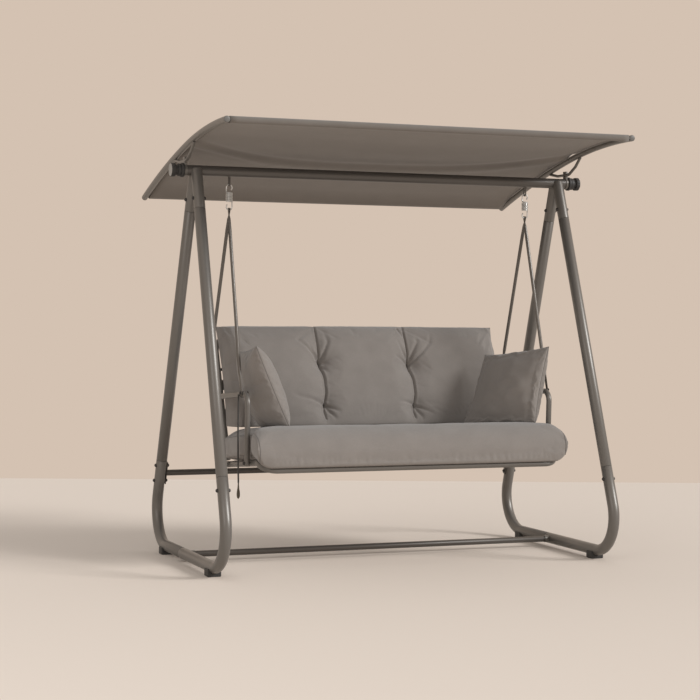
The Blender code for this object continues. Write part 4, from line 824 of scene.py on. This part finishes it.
lean = radians(21.8)
back_up = Vector((0, sin(lean), cos(lean)))
back_out = Vector((0, cos(lean), -sin(lean)))
back_foot_y = 0.0935
back_foot = at(0, back_foot_y, rail_z(back_foot_y))
back_length = (0.900 - back_foot.z) / back_up.z
back_half_width = seat_half_width + 0.0006


def back_point(x, height, out=0.0):
    """A point on the uprights' plane, a height along them and a distance behind them."""
    return Vector((x, 0, 0)) + back_foot + back_up * height + back_out * out


foot_height = (seat_radius * (1 + sin(lean)) + 0.0012) / cos(lean)
back_rail = pipe("back_rail", rounded([
    (back_point(-back_half_width, foot_height), 0), (back_point(-back_half_width, back_length), 0.070),
    (back_point(back_half_width, back_length), 0.070), (back_point(back_half_width, foot_height), 0),
]), seat_radius, frame_coat, 28)
stands_for(back_rail, "bench", "frame_paint", "backrest_frame")
upright_turn = Matrix((Vector((1, 0, 0)), back_out, back_up)).transposed().to_4x4()
for number in range(3):
    place = Matrix.Translation(back_point(0, 0.090 + 0.125 * number)) @ upright_turn
    slat = slab(f"back_slat_{number}", (2 * back_half_width, 0.003, 0.044), place, 0.0008, frame_coat)
    stands_for(slat, "bench", "frame_paint")
rail_bolt_y = back_foot_y - 0.036
rail_bolt = at(0, rail_bolt_y, rail_z(rail_bolt_y))
sideways = Vector((1, 0, 0))
for side, label in SIDES:
    for number, tip in enumerate((rail_bolt, back_point(0, 0.045))):
        run = tip - back_foot
        turn = Matrix((sideways, run.normalized(), sideways.cross(run.normalized()))).transposed().to_4x4()
        middle = Vector((side * (seat_half_width + seat_radius + 0.0023), 0, 0)) + back_foot + run / 2
        size = (0.004, run.length + 0.026, 0.026)
        place = Matrix.Translation(middle) @ turn
        bracket = slab(f"back_bracket_{label}_{number}", size, place, 0.001, frame_coat)
        stands_for(bracket, "bench", "frame_paint")
    place = Matrix.Translation(rail_bolt)
    reach = seat_half_width + seat_radius + 0.0040
    dome(f"rail_bolt_{label}", place if side > 0 else place @ flip, reach, "bench")


# The armrests are bent from thinner tube, each bolted to the side rail at its foot and to the upright behind.
# The front rod's foot hangs on a bolt through the armrest's front bend.
arm_radius = 0.011
arm_x = seat_half_width + seat_radius + 0.0006 + arm_radius
post_y = -0.2255
arm_front, arm_rear = (-0.236, 0.686), (0.214, 0.6535)
for side, label in SIDES:
    spots = (((post_y, 0.4050), 0), (arm_front, 0.040), (arm_rear, 0))
    path = rounded([(at(side * arm_x, *spot), bend) for spot, bend in spots])
    arm = pipe(f"arm_{label}", path, arm_radius, frame_coat, 28)
    stands_for(arm, "bench", "frame_paint", f"armrest_{label}")
    rear_height = (0.655 - back_foot.z) / back_up.z
    for number, spot in enumerate((at(0, post_y, rail_z(post_y)), back_point(0, rear_height))):
        place = Matrix.Translation(spot)
        place = place if side > 0 else place @ flip
        dome(f"arm_bolt_{label}_{number}", place, arm_x + arm_radius - 0.0008, "bench")


# The seat cushion is one long pad in a sewn cover, thick and round at its front edge and soft at its ends.
# Its cover has a seam round each end and along the lower front edge, and the loose cloth between is plumped by
# a short cloth simulation.
pad_cloth = woven("pad_cloth", (116, 109, 103), (146, 138, 131))
seam_cloth = woven("seam_cloth", (88, 82, 77), (112, 105, 99))


def smooth_line(points, count, closed=False):
    """A soft line of count points through a few chosen ones."""
    total = len(points)
    spans = total if closed else total - 1
    line = []
    for number in range(count):
        place = number / (count if closed else count - 1) * spans
        index = min(int(place), spans - 1)
        share = place - index
        if closed:
            picks = [points[(index + offset) % total] for offset in (-1, 0, 1, 2)]
        else:
            picks = [points[min(max(index + offset, 0), spans)] for offset in (-1, 0, 1, 2)]
        spot = []
        for a, b, c, d in zip(*picks):
            curve = 2 * a - 5 * b + 4 * c - d + share * (3 * (b - c) + d - a)
            spot.append(b + 0.5 * share * (c - a + share * curve))
        line.append(spot)
    return line


def eased(share, ends):
    """Points closer together towards both ends; ends is how much, from 0 to 1."""
    return ends * (0.5 - 0.5 * cos(pi * share)) + (1 - ends) * share


def settled_mesh(piece):
    """The piece's mesh with its modifiers applied."""
    mesh = bpy.data.meshes.new_from_object(piece.evaluated_get(bpy.context.evaluated_depsgraph_get()))
    piece.modifiers.clear()
    piece.vertex_groups.clear()
    piece.data = mesh
    return mesh


def plumped(name, bm, sewn, reach, growth):
    """A cover whose loose cloth swells between its sewn lines; sewn(point) is true where it is held."""
    ops.recalc_face_normals(bm, faces=bm.faces)
    cover = hand_over(name, bm, pad_cloth)
    before = [vert.co.copy() for vert in cover.data.vertices]
    held = cover.vertex_groups.new(name="held")
    held.add([index for index, spot in enumerate(before) if sewn(spot)], 1.0, "REPLACE")
    cloth = cover.modifiers.new("filling", "CLOTH")
    cloth.settings.quality = 5
    cloth.settings.mass = 0.3
    cloth.settings.tension_stiffness = 18
    cloth.settings.compression_stiffness = 18
    cloth.settings.shear_stiffness = 6
    cloth.settings.bending_stiffness = 0.4
    cloth.settings.use_pressure = True
    cloth.settings.uniform_pressure_force = 4.0
    cloth.settings.shrink_min = -growth
    cloth.settings.shrink_max = -growth
    cloth.settings.vertex_group_mass = "held"
    cloth.settings.effector_weights.gravity = 0
    cloth.collision_settings.use_collision = False
    for number in range(1, 21):
        scene.frame_set(number)
    mesh = settled_mesh(cover)
    for vert, start in zip(mesh.vertices, before):
        move = vert.co - start
        if move.length > reach:
            vert.co = start + move * (reach / move.length)
    scene.frame_set(1)
    finer = cover.modifiers.new("finer", "SUBSURF")
    finer.levels = 1
    finer.render_levels = 1
    settled_mesh(cover).shade_smooth()
    return cover


pad_half_width, end_round, end_depth = 0.661, 0.158, 0.060
pad_rows = 96
pad_lift = seat_radius + 0.0029
profile_points = [(0.1115, 0.455), (0.1115, 0.485), (0.094, 0.522), (0.02, 0.5325), (-0.12, 0.5455)]
profile_points += [(-0.25, 0.556), (-0.325, 0.550), (-0.372, 0.524), (-0.3925, 0.478), (-0.3945, 0.440)]
profile_points += [(-0.3905, 0.414)]
profile_points += [(-0.3805, 0.4075), (-0.3690, 0.4140), (-0.330, 0.4260)]
profile_points += [(y, rail_z(y) + pad_lift) for y in (-0.275, -0.2, -0.1, 0.0, 0.085)]
pad_profile = smooth_line(profile_points, pad_rows, True)
end_seam_x = pad_half_width - 0.010


def pad_spot(x, v):
    """A point on the cover: x across, and v round the section, which thins and draws in towards both ends."""
    side = 1 if x > 0 else -1
    y, z = pad_profile[round(v * pad_rows) % pad_rows]
    out = max(0.0, abs(x) - (pad_half_width - end_round)) / end_round
    forward = min(1.0, max(0.0, (-0.20 - y) / 0.12))
    round_end = 0.36 + 0.64 * sqrt(1 - max(0.0, 1 - (pad_half_width - abs(x)) / end_depth) ** 2)
    thin_end = 0.40 + 0.60 * max(0.0, 1 - out ** 2.6) ** 0.5
    kept = round_end * forward + min(round_end, thin_end) * (1 - forward)
    low_z = rail_z(max(y, rail_crown[0])) + pad_lift
    middle_z = low_z + 0.055 - 0.014 * (1 - forward) * out ** 2
    shift = (0.006 if y < -0.14 else 0.040) * out ** 2.2 * max(-1.0, min(1.0, (-0.14 - y) / 0.25))
    notch = 0.030 * exp(-(((y - post_y) / 0.052) ** 2)) * min(1.0, out * 1.6)
    slack = drift(x * 5, y * 9, z * 9) * 0.0026
    slack += drift(x * 17, y * 21, z * 21) * 0.0010
    near_seam = exp(-(((z - 0.432) / 0.016) ** 2)) * (y < -0.38)
    pucker = drift(x * 60, z * 12, 2.0) * 0.0030 * near_seam
    wrinkle = slack if z > low_z + 0.02 else 0.0
    return at(x - side * notch, y + shift + wrinkle * 0.5 + pucker, middle_z + (z - middle_z) * kept + wrinkle)


def pad_sewn(spot):
    """True where the cover rests on the slats or is sewn."""
    y = spot.y - beam_y
    under = y > -0.36 and spot.z < rail_z(max(y, rail_crown[0])) + pad_lift + 0.012
    lower_edge = y <= -0.36 and spot.z < 0.424
    return under or lower_edge or abs(abs(spot.x) - end_seam_x) < 0.0024


bm = placed_grid(220, pad_rows, lambda u, v: pad_spot((2 * eased(u, 0.5) - 1) * pad_half_width, v))
ends = ops.holes_fill(bm, edges=[edge for edge in bm.edges if edge.is_boundary])["faces"]
ops.triangulate(bm, faces=ends)
seat_pad = plumped("seat_pad", bm, pad_sewn, 0.004, 0.008)
stands_for(seat_pad, "bench", "pad_fabric", "seat_cushion")
for side, label in SIDES:
    loop = [pad_spot(side * end_seam_x, v / pad_rows) for v in range(pad_rows + 1)]
    seam = pipe(f"seat_seam_{label}", loop, 0.0014, seam_cloth, 8)
    stands_for(seam, "bench", "pad_fabric")
lower_row = min(range(pad_rows), key=lambda row: pad_profile[row][1] + (pad_profile[row][0] > -0.37))
lower_edge = [pad_spot((2 * u / 120 - 1) * end_seam_x, lower_row / pad_rows) for u in range(121)]
seam = pipe("seat_seam_front", lower_edge, 0.0013, seam_cloth, 8)
stands_for(seam, "bench", "pad_fabric")


# The back cushion is one pad with three soft sections, parted by two seams with two sewn tufts each.
# Sharp folds run from each tuft to the top edge, the bottom edge and into the sections.
pad_seam_x, back_pad_half_width = 0.200, 0.625
seam_lean = -0.012
pad_bottom, pad_top = 0.533, 0.932
tufts = {-1: (0.760, 0.592), 1: (0.750, 0.586)}
back_plane = -(seat_radius + 0.0006)


def back_depth(x, z):
    """How thick the cushion is at a place: three crowned sections, drawn in at the seams and tufts."""
    share = (z - pad_bottom) / (pad_top - pad_bottom)
    rise = max(0.0, 1 - abs(2 * share - 1) ** (2.6 if share > 0.5 else 6.0)) ** 0.5
    offset = x - seam_lean
    if abs(offset) < pad_seam_x:
        across = offset / pad_seam_x
    else:
        middle = (back_pad_half_width + pad_seam_x) / 2
        across = min(1.0, (abs(offset) - middle) / (back_pad_half_width - middle))
    crown = max(0.0, 1 - abs(across) ** 3.4) ** 0.5
    seam = 0.0 if abs(x) > back_pad_half_width - 0.02 else 0.62
    least = 0.030 + 0.046 * max(0.0, 1 - 2 * share)
    depth = least + (0.108 - least) * rise * (seam + (1 - seam) * crown)
    for tuft_z in tufts[1 if x > 0 else -1]:
        spread = ((abs(offset) - pad_seam_x) / 0.036) ** 2 + ((z - tuft_z) / 0.034) ** 2
        depth -= 0.030 * exp(-spread)
    slack = drift(x * 7, z * 9, 1.7) * 0.004
    depth += (slack + drift(x * 19, z * 23, 6.1) * 0.0012) * rise
    return max(depth, 0.012)


def back_surface(u, v, front):
    """The rim lies against the uprights; the first rows of the front run forward along the flat bottom."""
    share, across = eased(max(0.0, v - 0.05) / 0.95 if front else v, 0.35), eased(u, 0.35)
    z = pad_bottom + share * (pad_top - pad_bottom)
    pull = 0.008 * (1 - (2 * share - 1) ** 2) * abs(2 * across - 1) ** 6
    x = (2 * across - 1) * (back_pad_half_width - pull) + 0.008 * share * max(0.0, 2 * across - 1)
    edge = min(u, 1 - u, v, 1 - v)
    height = (z - back_foot.z) / back_up.z
    if not front:
        return back_point(x, height, back_plane - (0.006 if edge < 1e-6 else 0.0))
    from_side = min(u, 1 - u, 1 - v)
    depth = back_depth(x, z) * min(1.0, (from_side * 20) ** 0.5) * min(1.0, v / 0.05)
    depth = max(depth, 0.006)
    slump = Vector((0, 0, 1.07 * depth * sin(lean) * (1 - share) ** 3))
    return back_point(x, height, back_plane - depth) - slump


def back_place(spot):
    """Where a point lies: across, in height above the ground, and in front of the uprights."""
    step = spot - back_foot
    return spot.x, back_foot.z + step.dot(back_up) * back_up.z, -step.dot(back_out)


def back_sewn(spot):
    """True where the cover lies against the uprights or is sewn."""
    x, z, depth = back_place(spot)
    from_seam = abs(abs(x - seam_lean) - pad_seam_x)
    tuft = min(hypot(from_seam, z - tuft_z) for tuft_z in tufts[1 if x > 0 else -1]) < 0.010
    edge = abs(x) > back_pad_half_width - 0.012 or z > pad_top - 0.003 or z < pad_bottom + 0.006
    return depth < 0.022 or tuft or edge or from_seam < 0.0026


def two_faced(columns, rows, spot):
    """Two grids that meet all round their edges; spot(u, v, front) places both."""
    bm = placed_grid(columns, rows, lambda u, v: spot(u, v, True))
    other = placed_grid(columns, rows, lambda u, v: spot(u, v, False))
    rear_mesh = bpy.data.meshes.new("rear")
    other.to_mesh(rear_mesh)
    other.free()
    bm.from_mesh(rear_mesh)
    bpy.data.meshes.remove(rear_mesh)
    ops.remove_doubles(bm, verts=bm.verts, dist=1e-5)
    return bm


back_pad = plumped("back_pad", two_faced(250, 92, back_surface), back_sewn, 0.004, 0.004)
folds = []
for side in (-1, 1):
    x = side * pad_seam_x + seam_lean
    high, low = tufts[side]
    line = [(0, pad_bottom), (-0.002, 0.560), (0, low), (0.007, low + 0.042), (0.008, low + 0.095)]
    line += [(0.004, high - 0.028), (0, high), (-0.003, 0.815), (-0.002, 0.880), (0.004, 0.928)]
    line = [(x + step_x, z) for step_x, z in line]
    folds.append((line, 0.009, 0.0032, False))
for side, tuft, run, deep, wide in (
    (-1, 0, ((0, 0), (0.018, 0.035), (0.040, 0.082), (0.036, 0.115), (0.022, 0.150)), 0.013, 0.0060),
    (-1, 0, ((0, 0), (-0.054, 0.059), (-0.100, 0.095)), 0.012, 0.0050),
    (-1, 0, ((-0.002, 0.012), (-0.031, 0.045), (-0.050, 0.085)), 0.008, 0.0045),
    (-1, 0, ((0, -0.006), (0.034, 0.004), (0.078, 0.016)), 0.007, 0.0050),
    (-1, 0, ((0, -0.012), (0.036, -0.050)), 0.006, 0.0050),
    (-1, 1, ((0, 0), (0.030, -0.018), (0.064, -0.036)), 0.010, 0.0045),
    (-1, 1, ((0, 0), (0.026, -0.040), (0.044, -0.066)), 0.009, 0.0045),
    (-1, 1, ((0, 0), (-0.056, 0.014), (-0.110, 0.024), (-0.150, 0.042)), 0.007, 0.0060),
    (1, 0, ((0, 0), (0.018, 0.045), (0.046, 0.092), (0.044, 0.120)), 0.012, 0.0055),
    (1, 0, ((0, 0), (0.060, 0.045), (0.100, 0.086), (0.118, 0.140)), 0.011, 0.0055),
    (1, 0, ((0, 0.004), (-0.043, 0.022), (-0.070, 0.032)), 0.009, 0.0045),
    (1, 0, ((0, 0.014), (-0.028, 0.055), (-0.046, 0.105)), 0.010, 0.0050),
    (1, 0, ((-0.026, 0.155), (-0.020, 0.132), (-0.008, 0.112)), 0.009, 0.0045),
    (1, 1, ((0, 0), (0.032, -0.018), (0.078, -0.044)), 0.011, 0.0045),
    (1, 1, ((0, 0), (0.024, -0.044), (0.032, -0.068)), 0.009, 0.0045),
    (1, 1, ((0, 0.004), (-0.048, 0.008), (-0.080, 0.010)), 0.007, 0.0050),
):
    x, z = side * pad_seam_x + seam_lean, tufts[side][tuft]
    folds.append(([(x + step_x, z + step_z) for step_x, step_z in run], deep * 0.8, wide * 0.85, True))


def pressed(places, line, deep, wide, fading):
    """How deep a fold along a line presses each place, with a soft ridge at both its sides."""
    best = np.full(len(places), 9.0)
    share = np.zeros(len(places))
    for index, (start, stop) in enumerate(zip(line, line[1:])):
        start, run = np.array(start), np.array(stop) - np.array(start)
        along = np.clip((places - start) @ run / (run @ run), 0, 1)
        off = np.linalg.norm(places - start - along[:, None] * run, axis=1)
        nearer = off < best
        best[nearer] = off[nearer]
        share[nearer] = (index + along[nearer]) / (len(line) - 1)
    kept = (1 - share) ** 0.7 if fading else np.sin(pi * (0.06 + 0.88 * share)) ** 0.3
    spread = wide * (1 + 0.8 * share if fading else 1.0)
    ridge = 0.18 * np.exp(-(((best - 2.3 * spread) / (1.3 * spread)) ** 2))
    return deep * kept * (np.exp(-((best / spread) ** 2)) - ridge)


mesh = back_pad.data
spots = np.empty(len(mesh.vertices) * 3)
mesh.vertices.foreach_get("co", spots)
spots = spots.reshape(-1, 3)
steps = spots - np.array(back_foot)
in_front = -(steps @ np.array(back_out))
places = np.column_stack((spots[:, 0], back_foot.z + steps @ np.array(back_up) * back_up.z))
room = np.clip((in_front + back_plane - 0.010) / 0.020, 0, 1)
for line, deep, wide, fading in folds:
    spots += np.outer(pressed(places, line, deep, wide, fading) * room, np.array(back_out))
mesh.vertices.foreach_set("co", spots.ravel())
mesh.update()
stands_for(back_pad, "bench", "pad_fabric", "back_cushion")
top_edge = [back_surface(index / 60, 1.0, True) + back_up * 0.0002 for index in range(61)]
seam = pipe("back_seam_top", top_edge, 0.0014, seam_cloth, 8)
stands_for(seam, "bench", "pad_fabric")


# Two square pillows in the same cloth lean in the seat's corners, with sewn edges and pointed corners.
# The filling crowns both faces and leaves small puckers along the seam.
def pillow_point(corners, droop, u, v, front):
    """A point on a face; droop is how far the filling of the face towards the end hangs out past the seam."""
    low_a, low_b, top_b, top_a = corners
    out = (low_b - low_a).cross(top_a - low_a).normalized()
    across, rise = sin((2 * u - 1) * pi / 2), sin((2 * v - 1) * pi / 2)
    draw = 0.055 if rise > 0 else 0.015
    su, sv = across * (1 - 0.055 * (1 - rise * rise)), rise * (1 - draw * (1 - across * across))
    low, high = low_a.lerp(low_b, (su + 1) / 2), top_a.lerp(top_b, (su + 1) / 2)
    spot = low.lerp(high, (sv + 1) / 2)
    room = max(0.0, (1 - across * across) * (1 - rise * rise))
    face = 1 if front else -1
    swell = 0.0625 * room ** 0.42
    near = exp(-room * 9)
    pucker = drift(across * 9, rise * 9, face * 4.0) * 0.010 * near * room ** 0.3
    slack = drift(across * 3, rise * 3, face * 7.0) * 0.005 * min(1.0, room * 3)
    if front:
        hang = (low_a - low_b).normalized() * droop * (1 - v) ** 0.5 * max(0.0, 1 - 2 * u) ** 1.5
        spot = spot + hang * min(1.0, swell / 0.03)
    return spot + out * face * max(swell + pucker + slack, 0.0)


seat_line = smooth_line([(0.094, 0.522), (0.02, 0.533), (-0.12, 0.546), (-0.25, 0.556), (-0.325, 0.551)], 200)


def seat_top(y):
    """The seat cushion's top, where a pillow stands on it."""
    return min((abs(own_y - y), z) for own_y, z in seat_line)[1] + 0.0006


pillows = (
    ("right", 0.036, (0.582, -0.250), (0.372, 0.000), (0.492, 0.045, 0.826), (0.642, -0.248, 0.868)),
    ("left", 0.010, (-0.487, -0.250), (-0.500, 0.030), (-0.596, 0.070, 0.842), (-0.620, -0.235, 0.870)),
)
for label, droop, low_a, low_b, top_b, top_a in pillows:
    corners = [at(*low_a, seat_top(low_a[1])), at(*low_b, seat_top(low_b[1])), at(*top_b), at(*top_a)]
    rim = [(i / 40, 0) for i in range(40)] + [(1, i / 40) for i in range(40)]
    rim += [(1 - i / 40, 1) for i in range(40)] + [(0, 1 - i / 40) for i in range(41)]
    seam_line = [pillow_point(corners, 0.0, u, v, True) for u, v in rim]
    lines = kdtree.KDTree(len(seam_line))
    for index, spot in enumerate(seam_line):
        lines.insert(spot, index)
    lines.balance()
    bm = two_faced(76, 76, lambda u, v, front: pillow_point(corners, droop, u, v, front))
    pillow = plumped(f"cushion_{label}", bm, lambda spot: lines.find(spot)[2] < 0.006, 0.006, 0.012)
    stands_for(pillow, "bench", "pad_fabric", f"pillow_{label}")
    seam = pipe(f"cushion_seam_{label}", seam_line, 0.0014, seam_cloth, 8)
    stands_for(seam, "bench", "pad_fabric")
